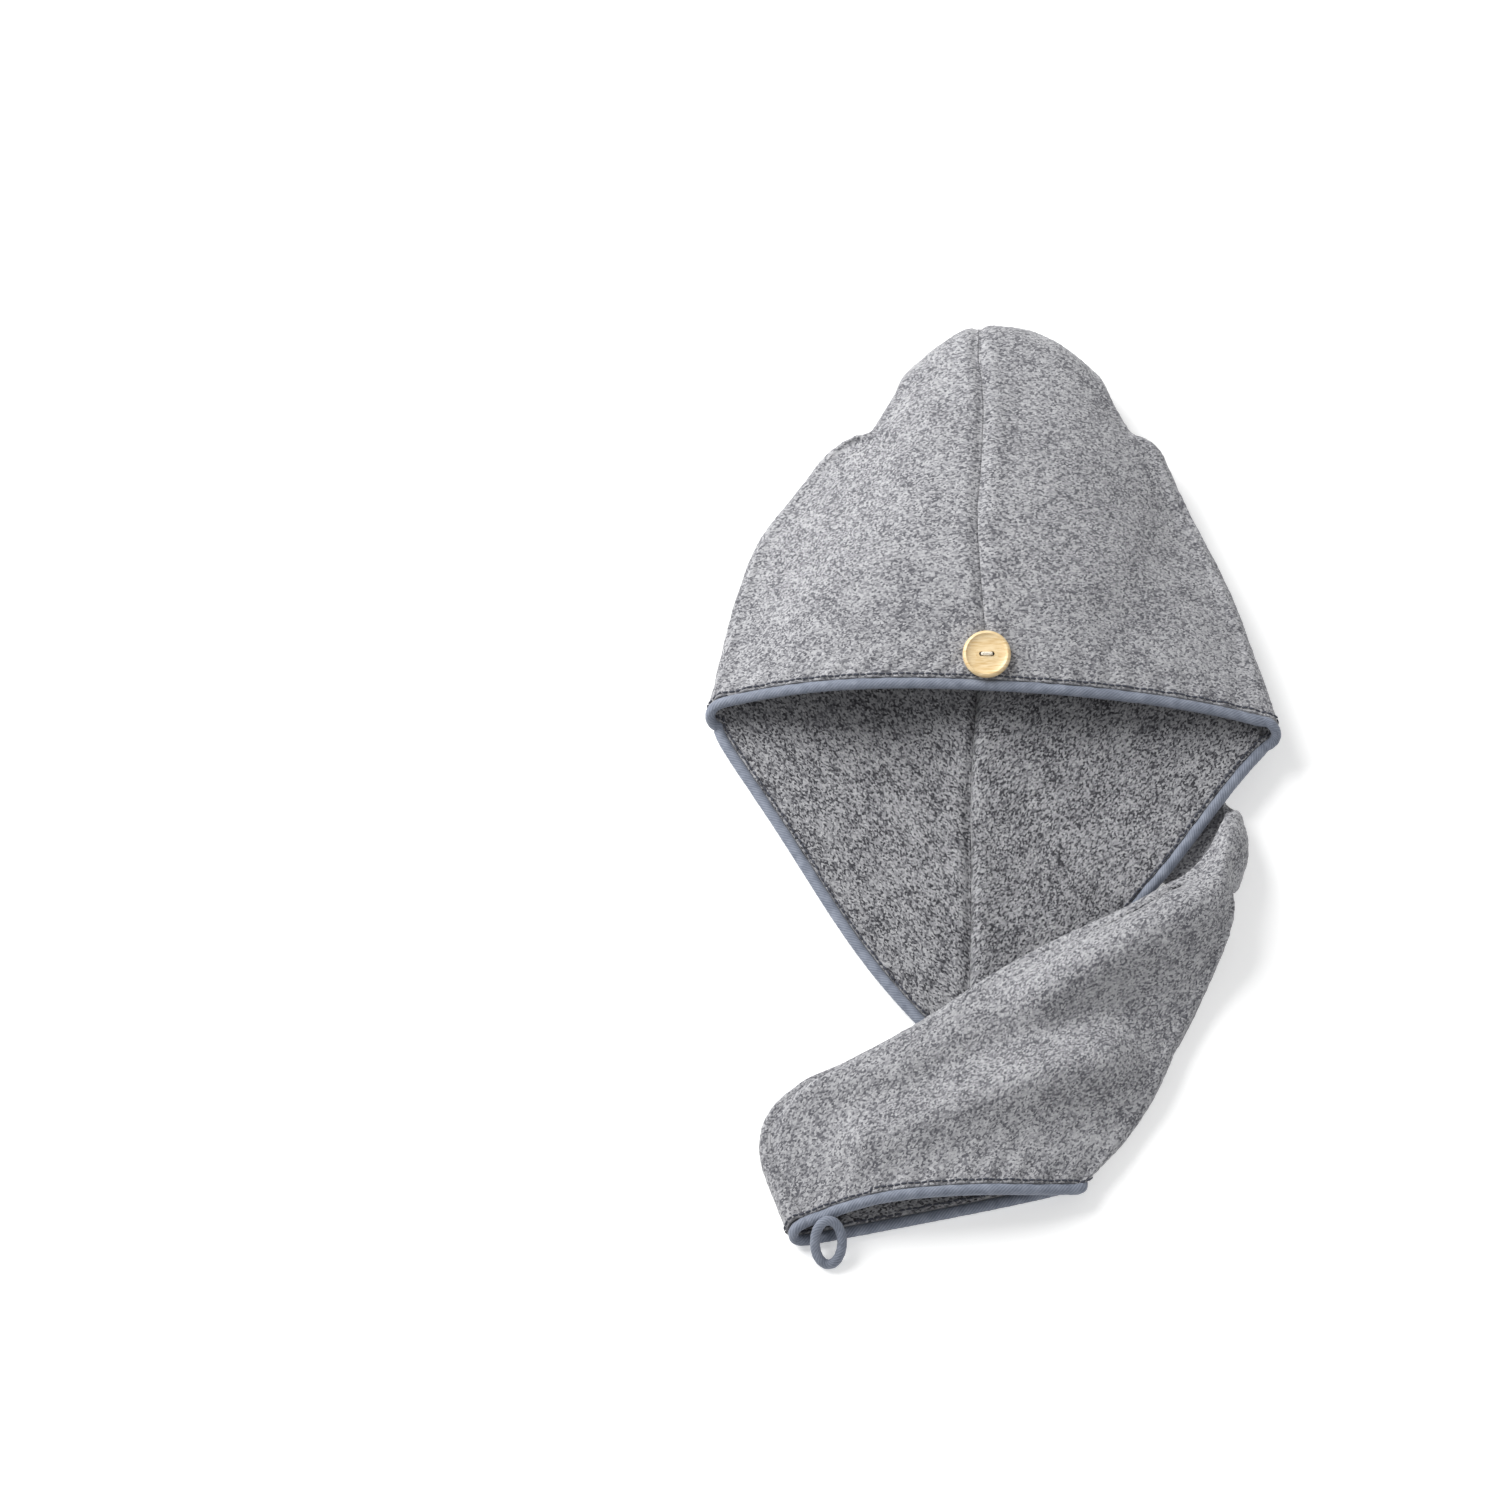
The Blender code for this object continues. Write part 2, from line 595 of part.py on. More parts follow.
def edge_binding(name, edge, beside):
    """Tape round a bound edge. edge is the wall's middle line there and beside the line next to it."""
    line, near = edge[:-1], beside[:-1]
    along, out = across_line(line, line - near)
    for _ in range(BINDING_PASSES):
        along, out = across_line(line, evened(out))
    centres = line + out * (BINDING_RADIUS + BINDING_GAP)
    centres, outs = spaced(centres, centres - line)
    along, outs = across_line(centres, outs)
    ups = np.cross(along, outs)
    tube_round(name, centres, outs, ups, squeezed(centres), BINDING_SIDES, "tape")
    return centres


def button(centre, normal, across):
    """A turned wooden button: a dished disc with a round rim and two holes."""
    r, h, d = BUTTON_DIAMETER / 2, BUTTON_THICKNESS, BUTTON_DISH
    profile = [
        (r - BUTTON_FOOT, 0.0),
        (r, BUTTON_FOOT),
        (r, h - BUTTON_EDGE),
        (r - BUTTON_EDGE / 2, h - d / 3),
        (r - BUTTON_RIM / 2, h),
        (r - BUTTON_RIM, h - d / 2),
        (r - BUTTON_RIM - d, h - d),
    ]
    shape = bmesh.new()
    rings = []
    for radius, z in profile:
        ring = []
        for i in range(ROUND_SIDES):
            angle = 2 * math.pi * i / ROUND_SIDES
            ring.append(shape.verts.new((radius * math.cos(angle), radius * math.sin(angle), z)))
        rings.append(ring)
    for low, high in zip(rings, rings[1:]):
        for i in range(ROUND_SIDES):
            k = (i + 1) % ROUND_SIDES
            shape.faces.new((low[i], low[k], high[k], high[i]))
    shape.faces.new(rings[-1])
    shape.faces.new(list(reversed(rings[0])))
    mesh = bpy.data.meshes.new("button")
    shape.to_mesh(mesh)
    shape.free()
    disc = new_object("button", mesh, "wood")
    frame = np.stack([across, np.cross(normal, across), normal], axis=1)
    turn = np.eye(4)
    turn[:3, :3] = frame
    turn[:3, 3] = centre
    for sign in (-1, 1):
        bpy.ops.mesh.primitive_cylinder_add(
            vertices=HOLE_SIDES,
            radius=BUTTON_HOLE / 2,
            depth=BUTTON_THICKNESS * 3,
            location=(sign * BUTTON_HOLE_SPACING / 2, 0, 0),
        )
        cutter = bpy.context.object
        cutter.name = f"button_hole_cutter_{sign + 1}"
        cutter.hide_render = True
        cutter.display_type = "WIRE"
        cutter.parent = disc
        cut = disc.modifiers.new(cutter.name, "BOOLEAN")
        cut.operation = "DIFFERENCE"
        cut.solver = "EXACT"
        cut.object = cutter
    disc.matrix_world = [list(row) for row in turn.T]
    return turn


def button_thread(turn):
    """The stitch between the button's holes, with a leg down through each."""
    r = THREAD_DIAMETER / 2
    top = BUTTON_THICKNESS - BUTTON_DISH + r + PIECE_GAP
    half = BUTTON_HOLE_SPACING / 2
    route = [
        (-half, r),
        (-half, top - r),
        (-half + r, top),
        (half - r, top),
        (half, top - r),
        (half, r),
    ]
    vertices, faces, sides = [], [], THREAD_SIDES
    last = len(route) - 1
    for i, (x, z) in enumerate(route):
        before, after = route[max(i - 1, 0)], route[min(i + 1, last)]
        run = Vector((after[0] - before[0], 0, after[1] - before[1])).normalized()
        side = Vector((0, 1, 0))
        up = run.cross(side)
        for j in range(sides):
            angle = 2 * math.pi * j / sides
            p = Vector((x, 0, z)) + r * (side * math.cos(angle) + up * math.sin(angle))
            vertices.append(turn[:3, :3] @ np.array(p) + turn[:3, 3])
    for i in range(last):
        for j in range(sides):
            k = (j + 1) % sides
            faces.append((i * sides + j, i * sides + k, (i + 1) * sides + k, (i + 1) * sides + j))
    faces.append(tuple(range(sides)))
    faces.append(tuple(last * sides + j for j in range(sides)))
    new_object("button_thread", mesh_from("button_thread", vertices, faces), "thread")


def tail_loop(corner):
    """A ring of tape that leans out of the tail's open end, at its left corner."""
    centre = corner
    x_axis = np.array([1.0, 0.0, 0.0])
    y_axis = np.array([0.0, math.cos(LOOP_TILT), math.sin(LOOP_TILT)])
    facing = np.cross(x_axis, y_axis)
    centres, outs, ups = [], [], []
    for i in range(ROUND_SIDES):
        angle = 2 * math.pi * i / ROUND_SIDES
        half_width = (LOOP_WIDTH - LOOP_CORD) / 2
        half_length = (LOOP_LENGTH - LOOP_CORD) / 2
        spot = x_axis * math.cos(angle) * half_width + y_axis * math.sin(angle) * half_length
        out = x_axis * math.cos(angle) / half_width + y_axis * math.sin(angle) / half_length
        centres.append(centre + spot)
        outs.append(unit(out))
        ups.append(facing)
    tube_round("loop", centres, outs, ups, LOOP_CORD / 2, BINDING_SIDES, "tape")


def centre_on_floor():
    """Moves every piece so that the origin is under the middle of the whole and the floor is at 0."""
    pieces = [thing for thing in bpy.data.objects if not thing.hide_render]
    corners = []
    for piece in pieces:
        co = np.empty(len(piece.data.vertices) * 3)
        piece.data.vertices.foreach_get("co", co)
        turn = np.array(piece.matrix_world)
        corners.append(co.reshape(-1, 3) @ turn[:3, :3].T + turn[:3, 3])
    everything = np.concatenate(corners)
    low, high = everything.min(axis=0), everything.max(axis=0)
    shift = Vector(((low[0] + high[0]) / 2, (low[1] + high[1]) / 2, low[2]))
    for piece in pieces:
        piece.matrix_world.translation -= shift
    bpy.context.view_layer.update()


def main():
    for thing in list(bpy.data.objects):
        bpy.data.objects.remove(thing, do_unlink=True)
    rings, crown = surface_rings()
    facing = normals(rings)
    for i in range(rings.shape[0]):
        for j in range(rings.shape[1]):
            rings[i, j] += facing[i, j] * soft_fold(rings[i, j], facing[i, j])
    facing = normals(rings)
    inside = rings - facing * WALL
    middle = rings - facing * WALL / 2
    split = crown + FOLD_STEPS
    panels = [
        ("hood_right", slice(0, split + 1), slice(0, COLUMNS + 1)),
        ("hood_left", slice(0, split + 1), slice(COLUMNS, 2 * COLUMNS + 1)),
        ("tail_right", slice(split, None), slice(0, COLUMNS + 1)),
        ("tail_left", slice(split, None), slice(COLUMNS, 2 * COLUMNS + 1)),
    ]
    for name, along, around in panels:
        fleece_panel(
            name,
            pulled_in(rings[along, around], SEAM_GAP / 2),
            pulled_in(inside[along, around], SEAM_GAP / 2),
        )
    edge_binding("mouth_binding", middle[0], middle[1])
    tail_edge = edge_binding("tail_binding", middle[-1], middle[-2])
    seat, normal = rings[1, 0], facing[1, 0]
    across = unit(np.array([1.0, 0.0, 0.0]) - normal * normal[0])
    turn = button(seat + normal * BUTTON_SEAT, normal, across)
    button_thread(turn)
    left_end = tail_edge[np.argmin(tail_edge[:, 0])]
    tail_loop(left_end + np.array([LOOP_RIGHT, -LOOP_OUT, LOOP_UP]))
    centre_on_floor()


main()
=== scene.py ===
"""Looks of the hair turban towel: coral fleece, tape, turned button, floor, light and camera.

The fleece is worked out from tables of sections like the CAD solids', at a finer spacing. The
crown, the tail's turn and the tail's end depart a little from the solids. It then gets its pile,
its sunk seams and its puckers. Metres, +Z up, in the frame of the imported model.
"""

import math

import bmesh
import bpy
import numpy as np
from mathutils import Matrix, Vector, noise


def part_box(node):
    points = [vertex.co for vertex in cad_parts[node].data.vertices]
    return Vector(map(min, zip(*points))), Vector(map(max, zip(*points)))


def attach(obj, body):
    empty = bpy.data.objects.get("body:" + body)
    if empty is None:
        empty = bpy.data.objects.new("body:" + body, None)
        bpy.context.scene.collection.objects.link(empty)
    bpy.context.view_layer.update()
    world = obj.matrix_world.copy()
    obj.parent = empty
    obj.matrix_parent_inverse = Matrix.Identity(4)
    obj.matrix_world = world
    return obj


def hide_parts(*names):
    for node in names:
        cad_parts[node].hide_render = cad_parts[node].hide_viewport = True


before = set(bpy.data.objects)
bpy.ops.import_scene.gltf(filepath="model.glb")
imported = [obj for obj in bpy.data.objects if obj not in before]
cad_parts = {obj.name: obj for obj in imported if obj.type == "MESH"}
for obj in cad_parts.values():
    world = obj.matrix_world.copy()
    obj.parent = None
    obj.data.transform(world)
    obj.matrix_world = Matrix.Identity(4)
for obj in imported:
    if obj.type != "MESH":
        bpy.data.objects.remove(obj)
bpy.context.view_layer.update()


def table(columns, *rows):
    """Rows of values, each as a dict under the columns' names."""
    return [dict(zip(columns.split(), row)) for row in rows]


# Driving dimensions
HOOD_WIDTH = 0.250
LAID_LENGTH = 0.443
HOOD_RISE = 0.046
WALL = 0.0024
TAIL_AIR = 0.0044
HOOD_SIDE_RADIUS = 0.0065
TAIL_PUFF = 0.009
CROWN_PUFF = 0.006
CROWN_PINCH = 0.003
FOLD_PUFF = 0.005
LAYER_GAP = 0.0017
DRAPE_REACH = 0.030
DRAPE_MARGIN = 0.012
PIECE_GAP = 0.0004
BINDING_DIAMETER = 0.005
LOOP_WIDTH = 0.022
LOOP_LENGTH = 0.024
LOOP_CORD = 0.0044
LOOP_TILT = math.radians(37)
BUTTON_DIAMETER = 0.021
BUTTON_THICKNESS = 0.0036
BUTTON_RIM = 0.0019
BUTTON_DISH = 0.0006
BUTTON_HOLE = 0.0021
BUTTON_HOLE_SPACING = 0.0046
THREAD_DIAMETER = 0.0013

# Sizes that follow from them
SIDE_RADIUS = WALL + TAIL_AIR / 2
TUBE_HEIGHT = 2 * SIDE_RADIUS
BINDING_RADIUS = BINDING_DIAMETER / 2
EDGE_LIFT = BINDING_RADIUS - WALL / 2
STACK = TUBE_HEIGHT + EDGE_LIFT + LAYER_GAP
FOLD_RADIUS = STACK / 2

# Mesh density, and passes that even out. FLAT_SHARE is the share of a ring's turn from the middle
# of its top, or underside, to the side's round.
FLAT_SHARE = 0.176
NORMAL_PASSES = 6
TAPE_TURN_PASSES = 12
BINDING_STEP = 0.0019
CORNER_ROOM = 0.48
TIGHTEST_TAPE = 0.85
FOLD_STEPS = 24
DRAPE_LINES_PER_ROW = 3

# Hood sections, from the mouth to the crown. along is a share of the hood's depth, left and right
# are the outline as shares of HOOD_WIDTH, rise is the front's top as a share of HOOD_RISE, seam is
# how far the front seam has moved round the section, as a share of the whole turn.
HOOD_SECTIONS = table(
    "along left right rise seam",
    (0.00, -0.495, 0.500, 0.85, -0.004),
    (0.15, -0.473, 0.472, 0.95, -0.005),
    (0.30, -0.447, 0.436, 1.00, -0.006),
    (0.45, -0.408, 0.393, 0.97, -0.007),
    (0.60, -0.338, 0.342, 0.90, -0.009),
    (0.75, -0.268, 0.300, 0.80, -0.016),
    (0.86, -0.230, 0.274, 0.71, -0.024),
    (0.94, -0.200, 0.252, 0.64, -0.034),
    (1.00, -0.162, 0.222, None, -0.044),
)
# The crown's fold lies at CROWN_Y, a share of LAID_LENGTH, and bows. At CROWN_HALF from
# CROWN_MIDDLE, shares of HOOD_WIDTH, it lies nearer the mouth by CROWN_BOW in metres, and by the
# square of CROWN_REACH times that at most. The bow starts at BOW_FROM and is whole at BOW_TO,
# shares of LAID_LENGTH. It leaves a shoulder in the outline on each side, near BOW_FROM.
CROWN_Y = 0.4670
CROWN_BOW = 0.025
CROWN_REACH = 1.15
CROWN_MIDDLE = 0.026
CROWN_HALF = 0.200
BOW_FROM = 0.339
BOW_TO = 0.468
# Corners and point of the mouth, as shares of HOOD_WIDTH and LAID_LENGTH. Its front edge droops to
# the corners and slants on round the sides, also shares of HOOD_WIDTH. Its rear edges bow, as
# shares of HOOD_WIDTH: bow swells the middle, with more at the ends for a low power, and sway
# shifts the swell to one end.
LEFT_CORNER_Y = 0.097
RIGHT_CORNER_Y = 0.068
POINT_X = -0.047
POINT_Y = -0.272
FRONT_ARCH = 0.002
CORNER_DROOP = 0.012
CORNER_SLANT = 0.032
DROOP_POWER = 6
REAR_EDGE_BOWS = table(
    "side bow sway power",
    (-1, 0.030, -0.008, 0.5),
    (1, 0.030, 0.0, 2.0),
)
POINT_ROUNDING = 0.12

# Tail sections under the hood, crown first. ax, ay and bx, by are the section's right and left
# ends, as shares of HOOD_WIDTH and LAID_LENGTH.
HIDDEN_SECTIONS = table(
    "ax ay bx by seam",
    (0.222, CROWN_Y, -0.162, CROWN_Y, -0.044),
    (0.220, 0.402, -0.158, 0.400, -0.03),
    (0.244, 0.316, -0.116, 0.289, 0.02),
    (0.308, 0.214, -0.060, 0.158, 0.08),
    (0.368, 0.117, 0.036, 0.041, 0.13),
    (0.402, 0.050, 0.172, -0.041, 0.18),
    (0.412, 0.010, 0.300, -0.098, 0.22),
    (0.400, -0.016, 0.402, -0.113, 0.25),
)
# Tail sections on top, fold first. ax, ay is the end on the upper left edge and bx, by the end on
# the right outline. az and bz are the underside's height there as shares of STACK, puff the swell
# as a share of TAIL_PUFF and slant how far the top draws back from the underside, per height.
TOP_SECTIONS = table(
    "ax ay bx by az bz puff slant seam",
    (0.400, -0.036, 0.402, -0.118, 1.0, 1.0, 0.5, 0.0, 0.25),
    (0.376, -0.069, 0.412, -0.140, 1.0, 0.99, 0.7, 0.0, 0.25),
    (0.338, -0.098, 0.406, -0.161, 1.0, 0.90, 0.9, 0.0, 0.25),
    (0.284, -0.122, 0.393, -0.181, 1.02, 0.66, 1.0, 0.0, 0.25),
    (0.210, -0.145, 0.376, -0.202, 1.05, 0.36, 1.1, 0.0, 0.25),
    (0.126, -0.165, 0.354, -0.228, 0.96, 0.16, 1.1, 0.0, 0.25),
    (0.034, -0.188, 0.332, -0.253, 0.80, 0.10, 1.0, 0.0, 0.25),
    (-0.040, -0.213, 0.309, -0.277, 0.74, 0.10, 0.9, 0.0, 0.24),
    (-0.122, -0.247, 0.290, -0.298, 0.72, 0.12, 0.9, 0.0, 0.22),
    (-0.250, -0.290, 0.266, -0.324, 0.62, 0.10, 0.9, 0.08, 0.20),
    (-0.372, -0.330, 0.238, -0.349, 0.30, 0.06, 0.9, 0.22, 0.185),
    (-0.404, -0.382, 0.204, -0.375, 0.13, 0.08, 0.95, 0.40, 0.175),
    (-0.358, -0.454, 0.156, -0.404, 0.11, 0.11, 1.1, 0.60, 0.17),
)
# Soft folds on the upper surface: a ridge runs from x0, y0 to x1, y1, shares of HOOD_WIDTH and
# LAID_LENGTH. breadth is a share of HOOD_WIDTH and rise one of HOOD_RISE, less than 0 for a dent.
SOFT_FOLDS = table(
    "x0 y0 x1 y1 breadth rise",
    (0.08, -0.235, 0.31, -0.145, 0.050, 0.120),
    (-0.10, -0.300, 0.24, -0.235, 0.052, -0.105),
    (-0.22, -0.375, 0.18, -0.290, 0.056, 0.130),
    (-0.30, -0.320, -0.10, -0.285, 0.044, 0.065),
    (-0.40, 0.175, -0.20, 0.310, 0.076, -0.050),
    (0.24, 0.150, 0.34, 0.280, 0.068, -0.045),
    (-0.16, 0.330, -0.02, 0.390, 0.060, 0.030),
)

# Folds only show where the surface faces up by more than this share
FOLDS_FADE_AT = 0.3
FOLDS_FADE = 0.4
# Shape of a stuffed section, and the swell at the crown's fold
LOFT_SIDES = 2.5
LOFT_TOP = 1.3
CROWN_SWELL = 0.75

# From the sections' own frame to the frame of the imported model
TO_FRAME = np.array([-0.000724, 0.000034, 0.0])

# Fine sampling of the surface, in rings for each row of the tables
FINE = 1.0
PANEL_COLUMNS = int(200 * FINE)
HOOD_RINGS = int(20 * FINE)
HIDDEN_RINGS = int(4 * FINE)
TOP_RINGS = int(15 * FINE)
# Passes that even out the crown and the tail's turn lengthwise, the table rows after the turn
# that its passes take in, and the share by which a pass evens each ring round its section too
CROWN_PASSES = 50
TURN_PASSES = 60
TURN_AFTER = 3
ROUNDING = 0.8
# The bulge of the tail's turn at its near end, as a share of the one at its far end
NEAR_BULGE = 0.4
# The tail's open end leans back by its slant at its left end, and by TIP_LEAN times that, which
# is forward, at its right tip. A low TIP_POWER keeps the backward lean over more of its width.
TIP_LEAN = -1.05
TIP_POWER = 0.45

# Pile and cloth, in metres. The pillow beside a seam is counted in SEAM_BREADTH, START is a share
# of ALLOWANCE_WIDTH, and RELIEF and SINK are shares of the relief left and the depth sunk there.
PILE_LUMP = 0.0017
PILE_HEIGHT = 0.00026
NAP_SIZE = 0.0052
NAP_HEIGHT = 0.00016
WRINKLE_SIZE = 0.042
WRINKLE_HEIGHT = 0.0011
SEAM_DEPTH = 0.0015
SEAM_BREADTH = 0.0021
SEAM_PILLOW = 0.0006
PUCKER_PITCH = 0.0115
PUCKER_HEIGHT = 0.0006
PUCKER_REACH = 0.011
PILLOW_AT = 3
PILLOW_BREADTH = 2
LEAST_RELIEF = 0.25
SEAM_SINK = 0.3
ALLOWANCE_WIDTH = 0.0052
ALLOWANCE_START = 0.15
ALLOWANCE_SOFT = 0.0012
ALLOWANCE_RISE = 0.0006
BANK_RISE = 0.0095
BANK_EDGE = 0.0045
BANK_REACH = 0.020
# Places in the noise, so that no two panels, faces or sorts of relief look alike
OUTER_SEED = 31.7
LINING_SEED = 17.3
NAP_SEED = 7
WRINKLE_SEED = 13
PUCKER_SEED = 3

# Tape and its stitching. LEAST_TURN and TINY keep a division from running into nothing.
TAPE_SIDES = 20
TAPE_HUG = 0.0009
TAPE_FLATNESS = 0.90
TAPE_RIPPLE = 0.00012
TAPE_RIPPLE_WAVES = 220
TAPE_PITCH = 0.0011
TAPE_EASING = 14
LEAST_TURN = 0.01
STITCH_PITCH = 0.0029
STITCH_LENGTH = 0.0026
STITCH_RADIUS = 0.00055
STITCH_INSET = 0.0016
# A stitch's rings: place along it as a share of its length, and size as a share of its radius
STITCH_RINGS = ((-0.5, 0.25), (-0.36, 0.8), (0.0, 1.0), (0.36, 0.8), (0.5, 0.25))
STITCH_SIDES = 6
STITCH_PROUD = 0.3
STITCH_GRAIN_STEP = 0.01
TINY = 1e-9

# The panels: node, number in the noise, the knit's run on the face and on the lining in degrees,
# and whether the lining carries the rear seam's allowance, counted from its last column with -1
PANELS = [
    ("hood_right", 1, (0, 46), -1),
    ("hood_left", 2, (0, -56), 0),
    ("tail_right", 3, (36, 8), 0),
    ("tail_left", 4, (36, 8), 0),
]

# The button's turning, from its foot over its round edge to the lip and the dish. LIP is out from
# the rim's inner edge and down from its top. The dish's DOWN values are shares of its depth.
BUTTON_BED = 600
BUTTON_SIDES = 96
BUTTON_ARC_STEPS = 8
BUTTON_FOOT_IN = 0.0016
BUTTON_ROUND = 0.0014
DISH_DEEPENED = 1.5
BUTTON_LIP = ((0.0004, 0.0001), (0.0, 0.0004))
DISH_EDGE_IN = 0.0006
DISH_EDGE_DOWN = 0.85
DISH_FLAT = 0.6
DISH_MIDDLE_DOWN = 0.9
BORE_SIDES = 32
BORE_DEPTHS = 3
SHARP_ANGLE = math.radians(40)

# The button's thread. LIFT, APART and THICKNESS are shares of its radius, and CROWN is how much
# higher the middle strand lies.
STRAND_STEPS = 16
STRAND_SIDES = 8
STRAND_LIFT = 0.2
STRAND_APART = 0.75
STRAND_CROWN = 0.0002
STRAND_FOOT = 0.25
STRAND_CLIMB = 1.6
STRAND_CLIMB_POWER = 0.7
STRAND_THICKNESS = 0.55
STRAND_GRAIN_STEPS = (0.35, 3.0)

# The soft loop hangs a little narrower than its ring, with its outer side in the ring's place
LOOP_NARROWED = 0.72
LOOP_SHIFT = (0.0042, 0.0022, 0.0)
LOOP_STEPS = 72

MM = 1000.0

# The fleece's look, in millimetres: a tuft along and across the knit, patches and fibres
TUFT_LENGTH = 1.0
TUFT_BREADTH = 0.6
PATCH_SIZE = 15
FIBRE_SIZE = 0.45

# Floor, light and camera
FLOOR_REACH = 6.0
FLOOR_DROP = 0.0002
PAPER_GRAIN = 900.0
WORLD_LIGHT = 0.42
FLOOR_GLOW = 0.30
LAMPS = [
    ("window", (-1.2, 0.9, 1.1), 1.6, 52.0),
    ("fill", (1.2, -0.9, 1.6), 1.2, 9.0),
]
CAMERA_ELEVATION = math.radians(68)
CAMERA_DISTANCE = 2.6
CAMERA_AIM = (-0.1060, 0.0203, 0.0)
FRAME_WIDTH = 0.658
SENSOR = 0.036 * MM


def mix(a, b, t):
    return a + (b - a) * t


def smoothstep(t):
    t = min(max(t, 0.0), 1.0)
    return t * t * (3 - 2 * t)


def unit(v):
    return v / np.linalg.norm(v)


def spline(rows, name, t):
    """Smooth value of one column, t counted in rows."""
    last = len(rows) - 1
    i = min(int(t), last - 1)
    f = t - i
    p = [rows[min(max(j, 0), last)][name] for j in (i - 1, i, i + 1, i + 2)]
    rise = (p[2] - p[0]) / 2
    fall = (p[3] - p[1]) / 2
    return (
        p[1] * (2 * f**3 - 3 * f**2 + 1)
        + p[2] * (3 * f**2 - 2 * f**3)
        + rise * (f**3 - 2 * f**2 + f)
        + fall * (f**3 - f**2)
    )


def loft(c):
    """Height of a stuffed section from side, -1, to side, 1."""
    return max(0.0, 1 - abs(c) ** LOFT_SIDES) ** LOFT_TOP


def place(theta):
    """Where a share of the turn lies: on the top or underside, from -1 to 1, or round a side."""
    t = theta % 1.0
    side_share = 0.5 - 2 * FLAT_SHARE
    if t < FLAT_SHARE:
        return "top", t / FLAT_SHARE
    if t < 0.5 - FLAT_SHARE:
        return "side_a", math.pi * (t - FLAT_SHARE) / side_share
    if t < 0.5 + FLAT_SHARE:
        return "under", (0.5 - t) / FLAT_SHARE
    if t < 1 - FLAT_SHARE:
        return "side_b", math.pi * (1 - FLAT_SHARE - t) / side_share
    return "top", (t - 1) / FLAT_SHARE


def plan(x_share, y_share):
    return np.array([x_share * HOOD_WIDTH, y_share * LAID_LENGTH, 0.0])


def ends_of(row):
    """The right and left ends of a tail section in plan."""
    return plan(row["ax"], row["ay"]), plan(row["bx"], row["by"])


def row_at(rows, t):
    """Every column's smooth value, t counted in rows."""
    return {name: spline(rows, name, t) for name in rows[0]}


def hidden_lines():
    """The hidden tail's plan as many lines across it, as an array of pairs of ends."""
    steps = DRAPE_LINES_PER_ROW * (len(HIDDEN_SECTIONS) - 1)
    lines = []
    for i in range(steps + 1):
        row = row_at(HIDDEN_SECTIONS, i / DRAPE_LINES_PER_ROW)
        lines.append([end[:2] for end in ends_of(row)])
    return np.array(lines)


def drape(x, y):
    """Height of the hood's rear wall, which lies on the floor and over the hidden tail."""
    lines = drape.lines
    start, run = lines[:, 0], lines[:, 1] - lines[:, 0]
    to = np.array([x, y]) - start
    share = np.clip(np.sum(to * run, axis=1) / np.sum(run * run, axis=1), 0, 1)
    out = np.linalg.norm(to - run * share[:, None], axis=1).min() - DRAPE_MARGIN
    return mix(EDGE_LIFT, STACK, smoothstep(1 - out / DRAPE_REACH))


drape.lines = hidden_lines()


def rear_edge(c):
    """Plan position of the mouth's rear edge from the left corner, -1, to the right one, 1."""
    side = REAR_EDGE_BOWS[0] if c < 0 else REAR_EDGE_BOWS[1]
    corner_x = HOOD_SECTIONS[0]["left" if c < 0 else "right"] * HOOD_WIDTH
    corner_x -= math.copysign(HOOD_SIDE_RADIUS, corner_x)
    corner_y = (LEFT_CORNER_Y if c < 0 else RIGHT_CORNER_Y) * LAID_LENGTH
    corner_y -= (CORNER_DROOP + CORNER_SLANT) * HOOD_WIDTH
    corner = np.array([corner_x, corner_y, 0.0])
    point = plan(POINT_X, POINT_Y)
    e = POINT_ROUNDING
    near = (math.sqrt(c * c + e * e) - e) / (math.sqrt(1 + e * e) - e)
    q = 1 - near
    run = unit(point - corner)
    outward = np.array([run[1], -run[0], 0.0]) * -side["side"]
    if outward[1] > 0:
        outward = -outward
    swell = max(0.0, math.sin(math.pi * q)) ** side["power"]
    bow = side["bow"] * swell + side["sway"] * math.sin(2 * math.pi * q)
    return mix(corner, point, q) + outward * bow * HOOD_WIDTH


